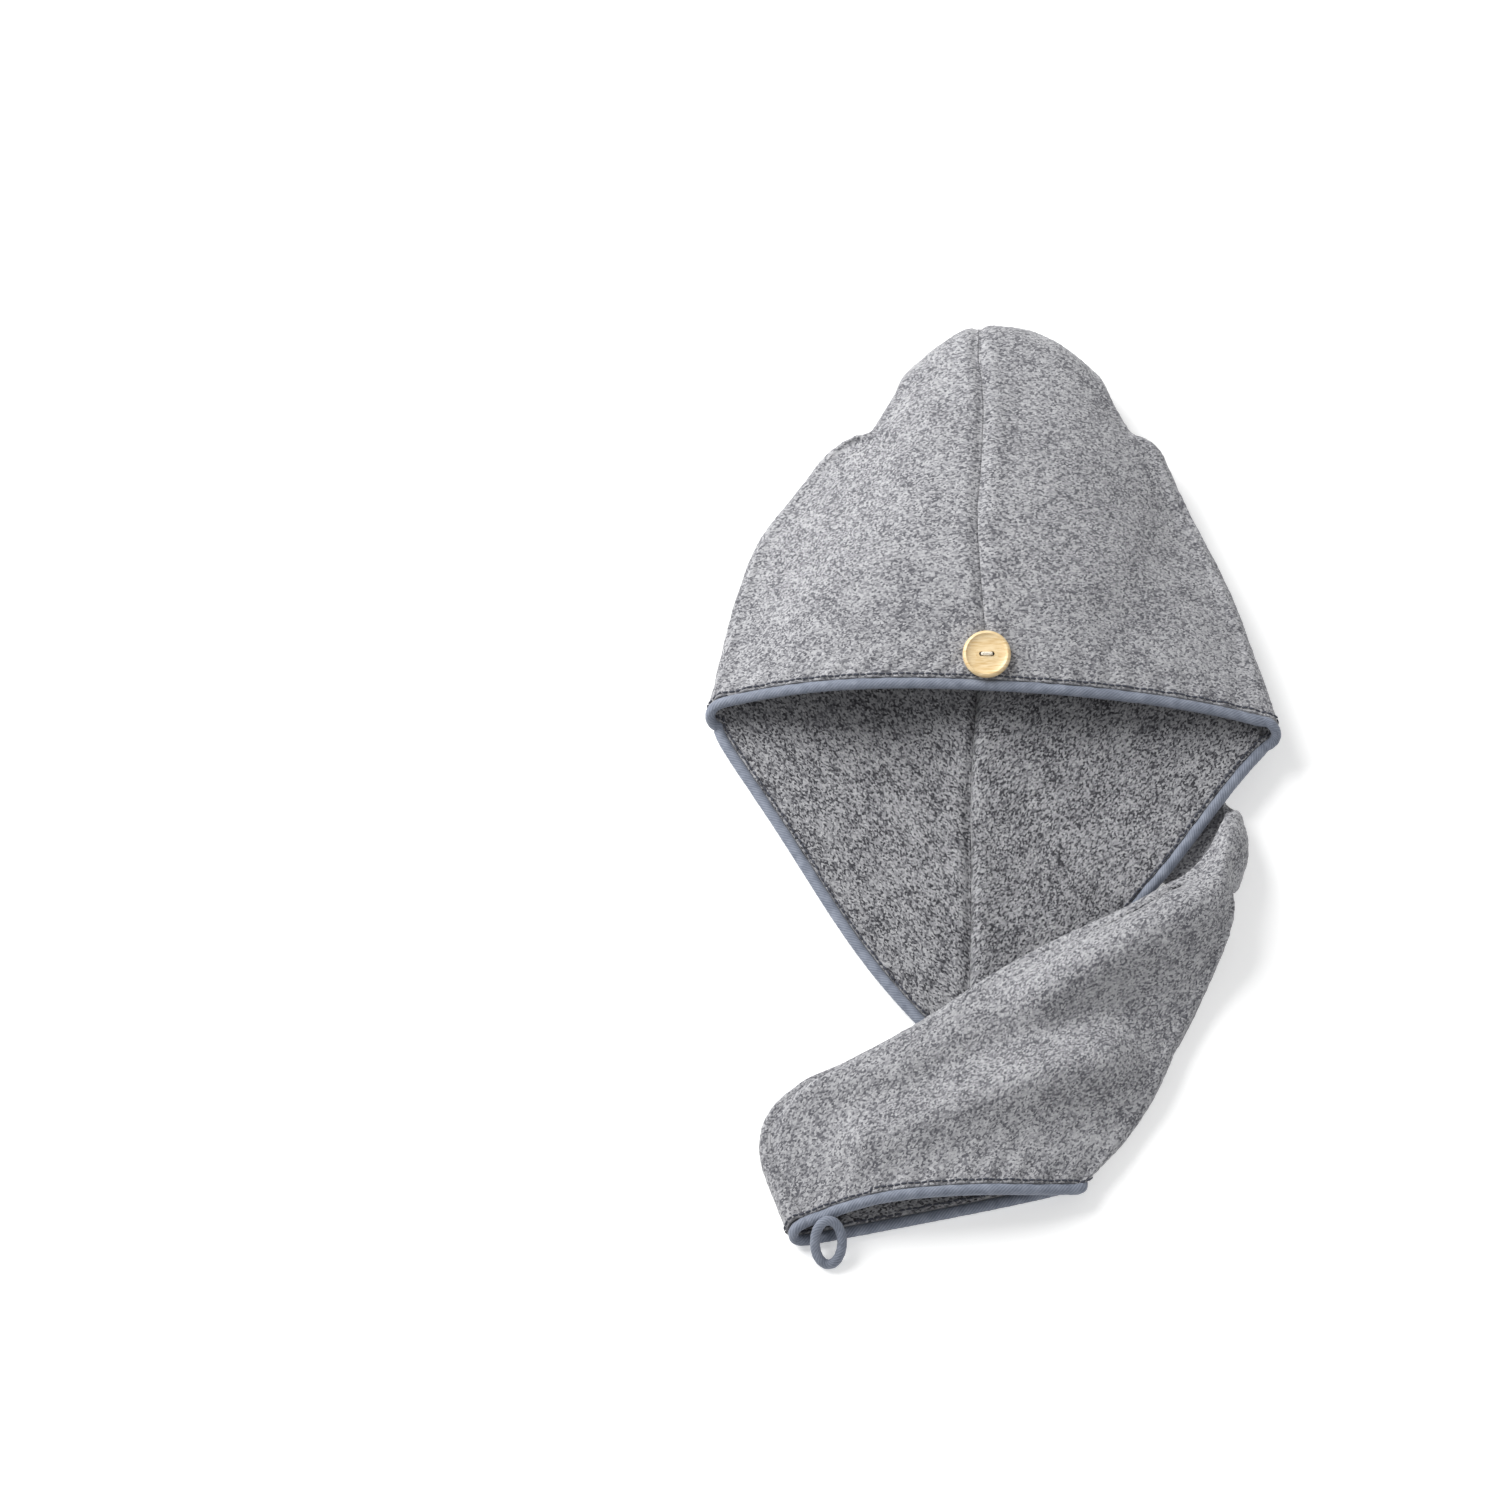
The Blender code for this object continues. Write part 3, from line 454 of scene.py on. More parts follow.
def hood_point(row, theta):
    """Outer surface of the hood. row counts HOOD_SECTIONS from the mouth."""
    s = spline(HOOD_SECTIONS[:-1] + [dict(HOOD_SECTIONS[-1], rise=0)], "along", row)
    r = mix(HOOD_SIDE_RADIUS, SIDE_RADIUS, s)
    crown_rise = (STACK + TUBE_HEIGHT + CROWN_PUFF) / HOOD_RISE
    rows = HOOD_SECTIONS[:-1] + [dict(HOOD_SECTIONS[-1], rise=crown_rise)]
    left = spline(rows, "left", row) * HOOD_WIDTH + r
    right = spline(rows, "right", row) * HOOD_WIDTH - r
    left_y = mix(LEFT_CORNER_Y, CROWN_Y, s) * LAID_LENGTH
    right_y = mix(RIGHT_CORNER_Y, CROWN_Y, s) * LAID_LENGTH
    ends = {-1: (left, left_y), 1: (right, right_y)}
    where, value = place(theta + spline(rows, "seam", row))
    if where in ("side_a", "side_b"):
        sign = 1 if where == "side_a" else -1
        x, y = ends[sign]
        round_side = (1 - math.cos(value)) / 2
        y -= (CORNER_DROOP + CORNER_SLANT * round_side) * HOOD_WIDTH * (1 - s) ** 2
        centre = np.array([x, y, drape(x, y) + r])
        return centre + r * np.array([sign * math.sin(value), 0.0, math.cos(value)])
    c = value
    f = (c + 1) / 2
    x = mix(left, right, f)
    if where == "top":
        y = mix(left_y, right_y, f) + FRONT_ARCH * LAID_LENGTH * (1 - s) * (1 - c * c)
        y -= CORNER_DROOP * HOOD_WIDTH * abs(c) ** DROOP_POWER * (1 - s) ** 2
        base = mix(drape(left, left_y), drape(right, right_y), f) + 2 * r
        rise = spline(rows, "rise", row) * HOOD_RISE
        return np.array([x, y, base + (rise - base) * loft(c)])
    edge = rear_edge(c)
    first_left = HOOD_SECTIONS[0]["left"] * HOOD_WIDTH + HOOD_SIDE_RADIUS
    first_right = HOOD_SECTIONS[0]["right"] * HOOD_WIDTH - HOOD_SIDE_RADIUS
    x += (edge[0] - mix(first_left, first_right, f)) * (1 - s)
    y = mix(edge[1], CROWN_Y * LAID_LENGTH, s)
    return np.array([x, y, drape(x, y)])


def tube_point(section, theta):
    """Outer surface of the tail. section holds its two ends, its normal and its swells."""
    a, b, normal = section["a"], section["b"], section["normal"]
    across = unit(a - b)
    a_in = a - across * SIDE_RADIUS
    b_in = b + across * SIDE_RADIUS
    where, value = place(theta + section["seam"])
    if where == "side_a":
        offset = across * math.sin(value) + normal * math.cos(value)
        point = a_in + offset * SIDE_RADIUS
    elif where == "side_b":
        offset = -across * math.sin(value) + normal * math.cos(value)
        point = b_in + offset * SIDE_RADIUS
    else:
        swell = section["puff"] * loft(value) if where == "top" else 0.0
        height = SIDE_RADIUS + swell
        sign = 1 if where == "top" else -1
        point = mix(b_in, a_in, (value + 1) / 2) + normal * sign * height
    share = {"side_a": 1.0, "side_b": 0.0}.get(where, (value + 1) / 2)
    lean = section["slant"] * mix(TIP_LEAN, 1.0, share**TIP_POWER)
    draw = lean * np.dot(point - (a + b) / 2, normal)
    return point + np.array([0.0, draw, 0.0])


def fold(lower, upper, outward, swells, descend):
    """Sections round a fold. lower and upper are pairs of ends, outward the way it bulges."""
    made = []
    for i in range(1, FOLD_STEPS):
        t = i / FOLD_STEPS
        angle = math.pi * t
        start, end = (upper, lower) if descend else (lower, upper)
        a = mix(start[0], end[0], t)
        b = mix(start[1], end[1], t)
        pinch = unit(a - b) * CROWN_PINCH * math.sin(angle) ** 2 if descend else 0.0
        up = math.cos(angle) if descend else -math.cos(angle)
        middle = (STACK + TUBE_HEIGHT) / 2
        lift = np.array([0.0, 0.0, middle + FOLD_RADIUS * up])
        reach = outward * FOLD_RADIUS * math.sin(angle)
        puff = (
            swells[0] * max(math.cos(angle), 0)
            + swells[1] * math.sin(angle) ** 2
            + swells[2] * max(-math.cos(angle), 0)
        )
        near_reach = reach * (1.0 if descend else NEAR_BULGE)
        normal = unit(np.array([0, 0, up]) + outward * math.sin(angle))
        ends = (a - pinch + lift + reach, b + pinch + lift + near_reach)
        made.append(dict(a=ends[0], b=ends[1], normal=normal, puff=puff, slant=0.0))
    return made


def tail_sections():
    """All sections of the tail, from the crown to its open end."""
    level = np.array([0.0, 0.0, SIDE_RADIUS])
    first, last = HIDDEN_SECTIONS[0], HIDDEN_SECTIONS[-1]
    top = TOP_SECTIONS[0]
    start = ends_of(first)
    up = np.array([0.0, 0.0, 1.0])
    raised = up * (STACK + SIDE_RADIUS)
    head = dict(a=start[0] + raised, b=start[1] + raised, normal=up, puff=CROWN_PUFF, slant=0.0)
    sections = [dict(head, seam=first["seam"])]
    swells = (CROWN_PUFF, CROWN_PUFF * CROWN_SWELL, 0)
    crown = fold(start, start, np.array([0.0, 1.0, 0.0]), swells, True)
    sections += [dict(s, seam=first["seam"]) for s in crown]
    steps = HIDDEN_RINGS * (len(HIDDEN_SECTIONS) - 1)
    for i in range(steps + 1):
        row = row_at(HIDDEN_SECTIONS, i / HIDDEN_RINGS)
        a, b = (end + level for end in ends_of(row))
        sections.append(dict(a=a, b=b, normal=-up, puff=0.0, slant=0.0, seam=row["seam"]))
    swells = (0, FOLD_PUFF, top["puff"] * TAIL_PUFF)
    turn = fold(ends_of(last), ends_of(top), np.array([1.0, 0.0, 0.0]), swells, False)
    sections += [dict(s, seam=top["seam"]) for s in turn]
    steps = TOP_RINGS * (len(TOP_SECTIONS) - 1)
    for i in range(steps + 1):
        row = row_at(TOP_SECTIONS, i / TOP_RINGS)
        a, b = ends_of(row)
        a = a + up * (row["az"] * STACK + SIDE_RADIUS)
        b = b + up * (row["bz"] * STACK + SIDE_RADIUS)
        puff, slant, seam = row["puff"] * TAIL_PUFF, row["slant"], row["seam"]
        sections.append(dict(a=a, b=b, normal=up, puff=puff, slant=slant, seam=seam))
    return sections


def bowed(rings):
    """The rings with the crown's fold bowed."""
    x, y = rings[..., 0] / HOOD_WIDTH, rings[..., 1] / LAID_LENGTH
    across = np.clip(np.abs(x - CROWN_MIDDLE) / CROWN_HALF, 0, CROWN_REACH)
    share = np.clip((y - BOW_FROM) / (BOW_TO - BOW_FROM), 0, 1)
    made = rings.copy()
    made[..., 1] -= CROWN_BOW * across**2 * share**2 * (3 - 2 * share)
    return made


def eased(rings, first, last, before, after, passes):
    """The rings evened out lengthwise round a fold, so that it is one soft bulge."""
    row = np.arange(len(rings), dtype=float)
    entering = np.clip((row - first + before) / before, 0, 1)
    leaving = np.clip((last + after - row) / after, 0, 1)
    share = (np.minimum(entering, leaving) * 0.5)[:, None, None]
    made = rings.copy()
    for _ in range(passes):
        even = made.copy()
        even[1:-1] = (made[:-2] + made[2:]) / 2
        made = mix(made, even, share)
        ring = made[:, :-1]
        round_it = (np.roll(ring, 1, axis=1) + np.roll(ring, -1, axis=1)) / 2
        made[:, :-1] = mix(ring, round_it, share * ROUNDING)
        made[:, -1] = made[:, 0]
    return made


def normals(rings):
    """Outward normals of a grid of closed rings, evened out a little."""
    around = np.empty_like(rings)
    around[:, 1:-1] = rings[:, 2:] - rings[:, :-2]
    around[:, 0] = rings[:, 1] - rings[:, -2]
    around[:, -1] = around[:, 0]
    cross = np.cross(around, np.gradient(rings, axis=0))
    cross /= np.linalg.norm(cross, axis=2, keepdims=True)
    for _ in range(NORMAL_PASSES):
        even = cross.copy()
        even[1:-1] = (cross[:-2] + 2 * cross[1:-1] + cross[2:]) / 4
        cross = even / np.linalg.norm(even, axis=2, keepdims=True)
    return cross


def evened(closed_line):
    """Each entry of a closed line evened out with its neighbours."""
    before, after = np.roll(closed_line, 1, axis=0), np.roll(closed_line, -1, axis=0)
    return (before + 2 * closed_line + after) / 4


def across_line(closed_line, directions):
    """Unit tangents of a closed line, and the directions made square to them."""
    along = np.roll(closed_line, -1, axis=0) - np.roll(closed_line, 1, axis=0)
    along /= np.linalg.norm(along, axis=1, keepdims=True)
    square = directions - along * np.sum(directions * along, axis=1, keepdims=True)
    return along, square / np.linalg.norm(square, axis=1, keepdims=True)


def spaced(centres, outs):
    """The entries of a closed line left when those that lie too near the last one go."""
    kept = [0]
    for i in range(1, len(centres)):
        step = np.linalg.norm(centres[i] - centres[kept[-1]])
        home = np.linalg.norm(centres[i] - centres[0])
        if min(step, home) > BINDING_STEP:
            kept.append(i)
    return centres[kept], outs[kept]


def squeezed(centres):
    """Radius of the tape at each centre, smaller where it turns a tight corner."""
    before = centres - np.roll(centres, 1, axis=0)
    after = np.roll(before, -1, axis=0)
    steps = [np.linalg.norm(run, axis=1) for run in (before, after)]
    cosine = np.sum(before * after, axis=1) / (steps[0] * steps[1])
    half_turn = np.arccos(np.clip(cosine, -1, 1)) / 2
    room = np.minimum(*steps) * CORNER_ROOM / np.maximum(np.tan(half_turn), LEAST_TURN)
    return np.clip(room, BINDING_RADIUS * TIGHTEST_TAPE, BINDING_RADIUS)


def rings_of_surface():
    """Fine rings of the outer surface, the crown ring's index and the panels' turn shares."""
    turn = [j / (2 * PANEL_COLUMNS) for j in range(2 * PANEL_COLUMNS + 1)]
    rings = []
    for i in range(HOOD_RINGS * (len(HOOD_SECTIONS) - 1)):
        rings.append([hood_point(i / HOOD_RINGS, t) for t in turn])
    crown = len(rings)
    for section in tail_sections():
        rings.append([tube_point(section, t) for t in turn])
    rings = bowed(np.array(rings))
    rings = eased(rings, crown, crown + FOLD_STEPS, HOOD_RINGS, HIDDEN_RINGS / 2, CROWN_PASSES)
    turn_over = crown + FOLD_STEPS + HIDDEN_RINGS * (len(HIDDEN_SECTIONS) - 1)
    ending = turn_over + FOLD_STEPS
    before, after = HIDDEN_RINGS / 2, TURN_AFTER * TOP_RINGS
    return eased(rings, turn_over, ending, before, after, TURN_PASSES), crown


def with_soft_folds(rings):
    """The rings raised and dented by the table of soft folds."""
    facing = normals(rings)
    total = np.zeros(rings.shape[:2])
    for row in SOFT_FOLDS:
        a, b = plan(row["x0"], row["y0"])[:2], plan(row["x1"], row["y1"])[:2]
        run = b - a
        share = np.clip(((rings[..., :2] - a) @ run) / (run @ run), 0, 1)
        away = np.linalg.norm(rings[..., :2] - a - share[..., None] * run, axis=-1)
        breadth = row["breadth"] * HOOD_WIDTH
        total += row["rise"] * HOOD_RISE * np.exp(-((away / breadth) ** 2))
    up = np.clip((facing[..., 2] - FOLDS_FADE_AT) / FOLDS_FADE, 0, 1)
    total *= up * up * (3 - 2 * up)
    return rings + facing * total[..., None]


def lengths(grid, axis):
    """Running length along one axis of a grid of points."""
    steps = np.linalg.norm(np.diff(grid, axis=axis), axis=-1)
    run = np.cumsum(steps, axis=axis)
    start = np.zeros_like(run[:1] if axis == 0 else run[:, :1])
    return np.concatenate([start, run], axis=axis)


def noise_on(points, size, seed):
    """Smooth noise, about -1 to 1, at each point of a grid, with lumps of the given size."""
    flat = points.reshape(-1, 3) / size + seed
    values = [noise.noise(Vector(p)) for p in flat]
    return np.array(values).reshape(points.shape[:-1])


def cloth_relief(grid, seed):
    """Height of nap, puckers and sunk seams over one face of a panel."""
    around = lengths(grid, 1)
    along = lengths(grid, 0)
    to_seam = np.minimum(around, around[:, -1:] - around)
    pillow = to_seam - PILLOW_AT * SEAM_BREADTH
    height = PILE_HEIGHT * noise_on(grid, PILE_LUMP, seed)
    height += NAP_HEIGHT * noise_on(grid, NAP_SIZE, seed + NAP_SEED)
    height += WRINKLE_HEIGHT * noise_on(grid, WRINKLE_SIZE, seed + WRINKLE_SEED)
    height -= SEAM_DEPTH * np.exp(-((to_seam / SEAM_BREADTH) ** 2))
    height += SEAM_PILLOW * np.exp(-((pillow / (PILLOW_BREADTH * SEAM_BREADTH)) ** 2))
    waver = 2 * noise_on(grid, WRINKLE_SIZE, seed + PUCKER_SEED)
    pucker = np.sin(2 * math.pi * around / PUCKER_PITCH + waver)
    for edge in (along, along[-1:] - along):
        height += PUCKER_HEIGHT * pucker * np.exp(-edge / PUCKER_REACH)
    fade = np.clip(to_seam / SEAM_BREADTH, LEAST_RELIEF, 1)
    return height * fade - SEAM_DEPTH * SEAM_SINK * (1 - fade)


def linear(hex_colour):
    """An sRGB hex colour as linear RGBA."""
    parts = [int(hex_colour[i : i + 2], 16) / 255 for i in (1, 3, 5)]
    bent = [c / 12.92 if c <= 0.04045 else ((c + 0.055) / 1.055) ** 2.4 for c in parts]
    return (*bent, 1.0)


def add(tree, kind, settings=None, stops=None, **inputs):
    """A shader node with its settings, its ramp's stops and its inputs, values or outputs.

    An input is given by its name, with _ for a space, or as i and its number.
    """
    node = tree.nodes.new("ShaderNode" + kind)
    for name, value in (settings or {}).items():
        setattr(node, name, value)
    if stops:
        elements = node.color_ramp.elements
        while len(elements) < len(stops):
            elements.new(0.5)
        for element, (place_at, colour) in zip(elements, stops):
            element.position = place_at
            element.color = linear(colour)
    for name, value in inputs.items():
        socket = node.inputs[int(name[1:])] if name[0] == "i" and name[1:].isdigit() else None
        socket = socket or node.inputs[name.replace("_", " ")]
        if isinstance(value, bpy.types.NodeSocket):
            tree.links.new(value, socket)
        else:
            socket.default_value = value
    return node


def grain_of(tree):
    """Each point's place in the cloth, tape, thread or wood, in millimetres."""
    return add(tree, "Attribute", {"attribute_name": "grain"}).outputs["Vector"]


def new_material(name):
    """An empty node material and its tree."""
    made = bpy.data.materials.new(name)
    made.use_nodes = True
    made.node_tree.nodes.clear()
    return made, made.node_tree


def ramp(tree, share, *stops):
    """The colour of a ramp, whose stops are pairs of a place and a colour, at a share."""
    return add(tree, "ValToRGB", stops=stops, Fac=share).outputs["Color"]


def scaled_sum(tree, value, factor, added):
    """The value times the factor, plus what is added, as a node's output."""
    return add(
        tree, "Math", {"operation": "MULTIPLY_ADD"}, i0=value, i1=factor, i2=added
    ).outputs[0]


def scaled(tree, vector, factors):
    """The vector with each part times its factor, as a node's output."""
    return add(tree, "VectorMath", {"operation": "MULTIPLY"}, i0=vector, i1=factors).outputs[0]


def finish_material(tree, colour, roughness, relief, **shader):
    """Ends a material. relief is its bump's height, strength and depth in metres."""
    height, strength, depth = relief
    bump = add(tree, "Bump", Strength=strength, Distance=depth, Height=height)
    surface = add(
        tree, "BsdfPrincipled", Base_Color=colour, Roughness=roughness,
        Normal=bump.outputs["Normal"], **shader,
    )
    add(tree, "OutputMaterial", Surface=surface.outputs["BSDF"])


def coral_fleece(name, tones):
    """Coral fleece of mixed light and dark microfibre, knitted and brushed up.

    The eye gets a matt, soft grey of light and dark tufts, each about 1 mm along the knit and
    0.6 mm across it, that gather in darker and lighter patches, and a faint bloom where the pile
    is seen edge on. tones are the tufts' colours from the darkest to the lightest.
    """
    made, tree = new_material(name)
    grain = grain_of(tree)
    tuft = (1 / TUFT_LENGTH, 1 / TUFT_BREADTH, 1 / TUFT_BREADTH)
    tufts = add(tree, "TexVoronoi", Vector=scaled(tree, grain, tuft), Scale=1.0, Randomness=1.0)
    patches = add(tree, "TexNoise", Vector=grain, Scale=1 / PATCH_SIZE, Detail=5.0, Roughness=0.7)
    tuft_share = add(tree, "Math", {"operation": "MULTIPLY"}, i0=tufts.outputs["Color"], i1=0.6)
    tone = scaled_sum(tree, patches.outputs["Fac"], 0.42, tuft_share.outputs[0])
    yarn = ramp(tree, tone, *zip((0.33, 0.44, 0.55, 0.76), tones))
    fibres = add(tree, "TexNoise", Vector=grain, Scale=1 / FIBRE_SIZE, Detail=2.0)
    pile = scaled_sum(tree, tufts.outputs["Distance"], -0.6, fibres.outputs["Fac"])
    finish_material(
        tree, yarn, 0.95, (pile, 0.55, 0.0005), Sheen_Weight=0.3, Sheen_Roughness=0.45,
        Specular_IOR_Level=0.2,
    )
    return made


def binding_tape():
    """Bias tape of woven polyester, folded over the cloth's edge.

    The eye gets a smooth blue-grey band with a fine slanting rib, coarser than the real weave so
    that it shows, and a low, silky light on its round.
    """
    made, tree = new_material("bias_tape")
    run = grain_of(tree)
    ribs = add(
        tree, "TexWave", {"wave_type": "BANDS", "bands_direction": "DIAGONAL"}, Vector=run,
        Scale=0.40, Distortion=0.8, Detail=1.0, Detail_Scale=1.5,
    ).outputs["Fac"]
    wear = add(tree, "TexNoise", Vector=run, Scale=0.22, Detail=2.0).outputs["Fac"]
    mixed = scaled_sum(tree, ribs, 0.35, wear)
    colour = ramp(tree, mixed, (0.35, "#636976"), (0.62, "#747A87"), (0.95, "#888E9B"))
    finish_material(
        tree, colour, 0.72, (ribs, 0.5, 0.00022), Sheen_Weight=0.15, Sheen_Roughness=0.4,
        Specular_IOR_Level=0.35,
    )
    return made


def turned_beech():
    """Beech, turned and lightly oiled.

    The eye gets a pale straw colour with short darker rays along the grain and a satin rim.
    """
    made, tree = new_material("turned_beech")
    rays = add(
        tree, "TexNoise", Vector=scaled(tree, grain_of(tree), (0.16, 1.25, 0.6)), Scale=1.0,
        Detail=3.0, Roughness=0.6, Distortion=0.4,
    ).outputs["Fac"]
    colour = ramp(tree, rays, (0.32, "#CFAE78"), (0.48, "#DEC394"), (0.66, "#EBD5AC"))
    finish_material(
        tree, colour, 0.42, (rays, 0.25, 0.0001), Coat_Weight=0.12, Coat_Roughness=0.35
    )
    return made


def twisted_thread(name, dark, light):
    """Cotton thread, spun and twisted. The eye gets slanting plies, 0.5 mm apart."""
    made, tree = new_material(name)
    plies = add(
        tree, "TexWave", {"wave_type": "BANDS", "bands_direction": "DIAGONAL"},
        Vector=grain_of(tree), Scale=0.62, Distortion=0.3,
    ).outputs["Fac"]
    colour = ramp(tree, plies, (0.1, dark), (0.9, light))
    finish_material(tree, colour, 0.85, (plies, 0.6, 0.00015), Sheen_Weight=0.15)
    return made


def new_object(name, data):
    """An object in the scene that shows the given data."""
    made = bpy.data.objects.new(name, data)
    bpy.context.scene.collection.objects.link(made)
    return made


def new_piece(name, vertices, faces, grain, finish):
    """A mesh piece that rides on the root. grain is in millimetres along and across the cloth."""
    mesh = bpy.data.meshes.new(name)
    mesh.from_pydata(np.asarray(vertices).tolist(), [], faces)
    mesh.update()
    held = mesh.attributes.new("grain", "FLOAT_VECTOR", "POINT")
    held.data.foreach_set("vector", np.asarray(grain, dtype=float).ravel())
    shape = bmesh.new()
    shape.from_mesh(mesh)
    bmesh.ops.recalc_face_normals(shape, faces=shape.faces)
    shape.to_mesh(mesh)
    shape.free()
    mesh.shade_smooth()
    piece = new_object(name, mesh)
    mesh.materials.append(finish)
    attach(piece, "root")
    return piece


def wall_faces(rows, columns):
    """Quads of a closed wall between two grids of the same size, the outer one first."""
    index = np.arange(2 * rows * columns).reshape(2, rows, columns)
    faces = []
    for side in index:
        quads = np.stack([side[:-1, :-1], side[:-1, 1:], side[1:, 1:], side[1:, :-1]], axis=-1)
        faces += quads.reshape(-1, 4).tolist()
    outer, inner = index
    for a, b in (
        (outer[0], inner[0]),
        (outer[-1], inner[-1]),
        (outer[:, 0], inner[:, 0]),
        (outer[:, -1], inner[:, -1]),
    ):
        faces += np.stack([a[:-1], a[1:], b[1:], b[:-1]], axis=-1).tolist()
    return faces


def knit(points, run, number):
    """Places in the cloth in millimetres, the first along the knit, whose run is in degrees."""
    turn = math.radians(run)
    along = points[..., 0] * math.cos(turn) + points[..., 1] * math.sin(turn)
    across = points[..., 1] * math.cos(turn) - points[..., 0] * math.sin(turn)
    return np.stack([along, across, points[..., 2] + number], axis=-1).reshape(-1, 3) * MM


def fleece_panel(name, node, grid, facing, number, runs, allowance, finishes):
    """One panel of fleece. runs are the knit's directions on its outer face and its lining."""
    outer = grid + facing * cloth_relief(grid, number * OUTER_SEED)[..., None]
    lining = grid - facing * WALL
    relief = cloth_relief(lining, number * LINING_SEED)
    if allowance:
        from_seam = lengths(lining, 1)[:, ::-1] if allowance < 0 else lengths(lining, 1)
        from_start = np.abs(from_seam - ALLOWANCE_WIDTH * ALLOWANCE_START)
        rolled = np.clip((ALLOWANCE_WIDTH - from_start) / ALLOWANCE_SOFT, 0, 1)
        bank = (1 - np.exp(-from_seam / BANK_EDGE)) * np.exp(-from_seam / BANK_REACH)
        relief += BANK_RISE * bank + ALLOWANCE_RISE * rolled
    inner = lining - facing * relief[..., None]
    piece = new_piece(
        name,
        np.concatenate([outer.reshape(-1, 3), inner.reshape(-1, 3)]),
        wall_faces(*grid.shape[:2]),
        np.concatenate([knit(grid, runs[0], number), knit(lining, runs[1], number + 0.5)]),
        finishes[0],
    )
    # The lining's faces take the second finish, whose darker tones are painted shade
    piece.data.materials.append(finishes[1])
    quads = (grid.shape[0] - 1) * (grid.shape[1] - 1)
    piece.data.polygons.foreach_set(
        "material_index", [int(quads <= i < 2 * quads) for i in range(len(piece.data.polygons))]
    )
    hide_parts(node)
    return outer, inner


def tube_faces(start, rings, sides, closed=False):
    """Quads between the rings of a tube whose vertices begin at start, with caps if not closed."""
    faces = []
    for ring in range(rings if closed else rings - 1):
        row, next_row = start + ring * sides, start + (ring + 1) % rings * sides
        for j in range(sides):
            k = (j + 1) % sides
            faces.append((row + j, row + k, next_row + k, next_row + j))
    if not closed:
        for first in (start, start + (rings - 1) * sides):
            faces.append(tuple(first + j for j in range(sides)))
    return faces


def tape_round(name, node, centres, outs, ups, radii, finish):
    """Tape rolled to a closed ring of nearly round section."""
    steps = np.linalg.norm(np.roll(centres, -1, axis=0) - centres, axis=1)
    run = np.concatenate([[0], np.cumsum(steps)[:-1]])
    vertices, grain = [], []
    for i, (centre, out, up, reach) in enumerate(zip(centres, outs, ups, radii)):
        for j in range(TAPE_SIDES):
            angle = 2 * math.pi * j / TAPE_SIDES
            spot = Vector(centre) * TAPE_RIPPLE_WAVES + Vector((0, 0, angle))
            ripple = TAPE_RIPPLE * noise.noise(spot)
            ripple -= TAPE_RIPPLE * 0.5 * (1 + math.cos(2 * math.pi * run[i] / STITCH_PITCH))
            side = out * math.cos(angle) + up * math.sin(angle) * TAPE_FLATNESS
            vertices.append(centre + (reach + ripple) * side)
            grain.append((run[i] * MM, angle * reach * MM, 0.0))
    faces = tube_faces(0, len(centres), TAPE_SIDES, closed=True)
    piece = new_piece(name, vertices, faces, grain, finish)
    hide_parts(node)
    return piece


def resampled(line, pitch, closed=True):
    """Points of a line at an even pitch, with the line's own indices for them."""
    points = np.concatenate([line, line[:1]]) if closed else line
    run = lengths(points[:, None], 0)[:, 0]
    count = max(3, int(round(run[-1] / pitch)))
    at = np.linspace(0, run[-1], count, endpoint=not closed)
    index = np.interp(at, run, np.arange(len(points)))
    return np.stack([np.interp(at, run, points[:, k]) for k in range(3)], axis=1), index


def edge_tape(name, node, edge, beside, finish):
    """Tape over a bound edge, the wall's middle line there. beside is the line next to it."""
    line, near = edge[:-1], beside[:-1]
    along, out = across_line(line, line - near)
    for _ in range(TAPE_TURN_PASSES):
        along, out = across_line(line, evened(out))
    centres = line + out * (BINDING_RADIUS + PIECE_GAP)
    centres, outs = spaced(centres, centres - line)
    along, outs = across_line(centres, outs)
    reach = squeezed(centres)
    fine, index = resampled(centres, TAPE_PITCH)
    low = index.astype(int) % len(centres)
    high = (low + 1) % len(centres)
    share = (index - index.astype(int))[:, None]
    fine_outs = outs[low] * (1 - share) + outs[high] * share
    radii = reach[low] * (1 - share[:, 0]) + reach[high] * share[:, 0]
    for _ in range(TAPE_EASING):
        fine, fine_outs, radii = evened(fine), evened(fine_outs), evened(radii)
    along, fine_outs = across_line(fine, fine_outs)
    ups = np.cross(along, fine_outs)
    return tape_round(name, node, fine - fine_outs * TAPE_HUG / 2, fine_outs, ups, radii, finish)


def stitch_row(name, faces_of_cloth, finish):
    """Rows of short stitches that lie on the cloth beside the tape, one for each given face."""
    vertices, faces, grain = [], [], []
    for grid, facing in faces_of_cloth:
        depth = lengths(grid, 0)
        columns = np.arange(grid.shape[1])
        row = np.array([np.argmin(np.abs(depth[:, j] - STITCH_INSET)) for j in columns])
        path = grid[row, columns]
        lift = facing[row, columns]
        spots, index = resampled(path, STITCH_PITCH, closed=False)
        for spot, at in zip(spots, index):
            k = min(int(at), len(path) - 2)
            run = unit(path[k + 1] - path[k] + TINY)
            up = unit(lift[k])
            side = unit(np.cross(run, up))
            start = len(vertices)
            for t, size in STITCH_RINGS:
                for corner in range(STITCH_SIDES):
                    angle = 2 * math.pi * corner / STITCH_SIDES
                    round_off = side * math.cos(angle) + up * math.sin(angle)
                    point = spot + run * t * STITCH_LENGTH + round_off * STITCH_RADIUS * size
                    vertices.append(point + up * STITCH_RADIUS * STITCH_PROUD)
                    place_in = (t * STITCH_LENGTH * MM, angle * STITCH_RADIUS * MM)
                    grain.append((*place_in, start * STITCH_GRAIN_STEP))
            faces += tube_faces(start, len(STITCH_RINGS), STITCH_SIDES)
    return new_piece(name, vertices, faces, grain, finish)


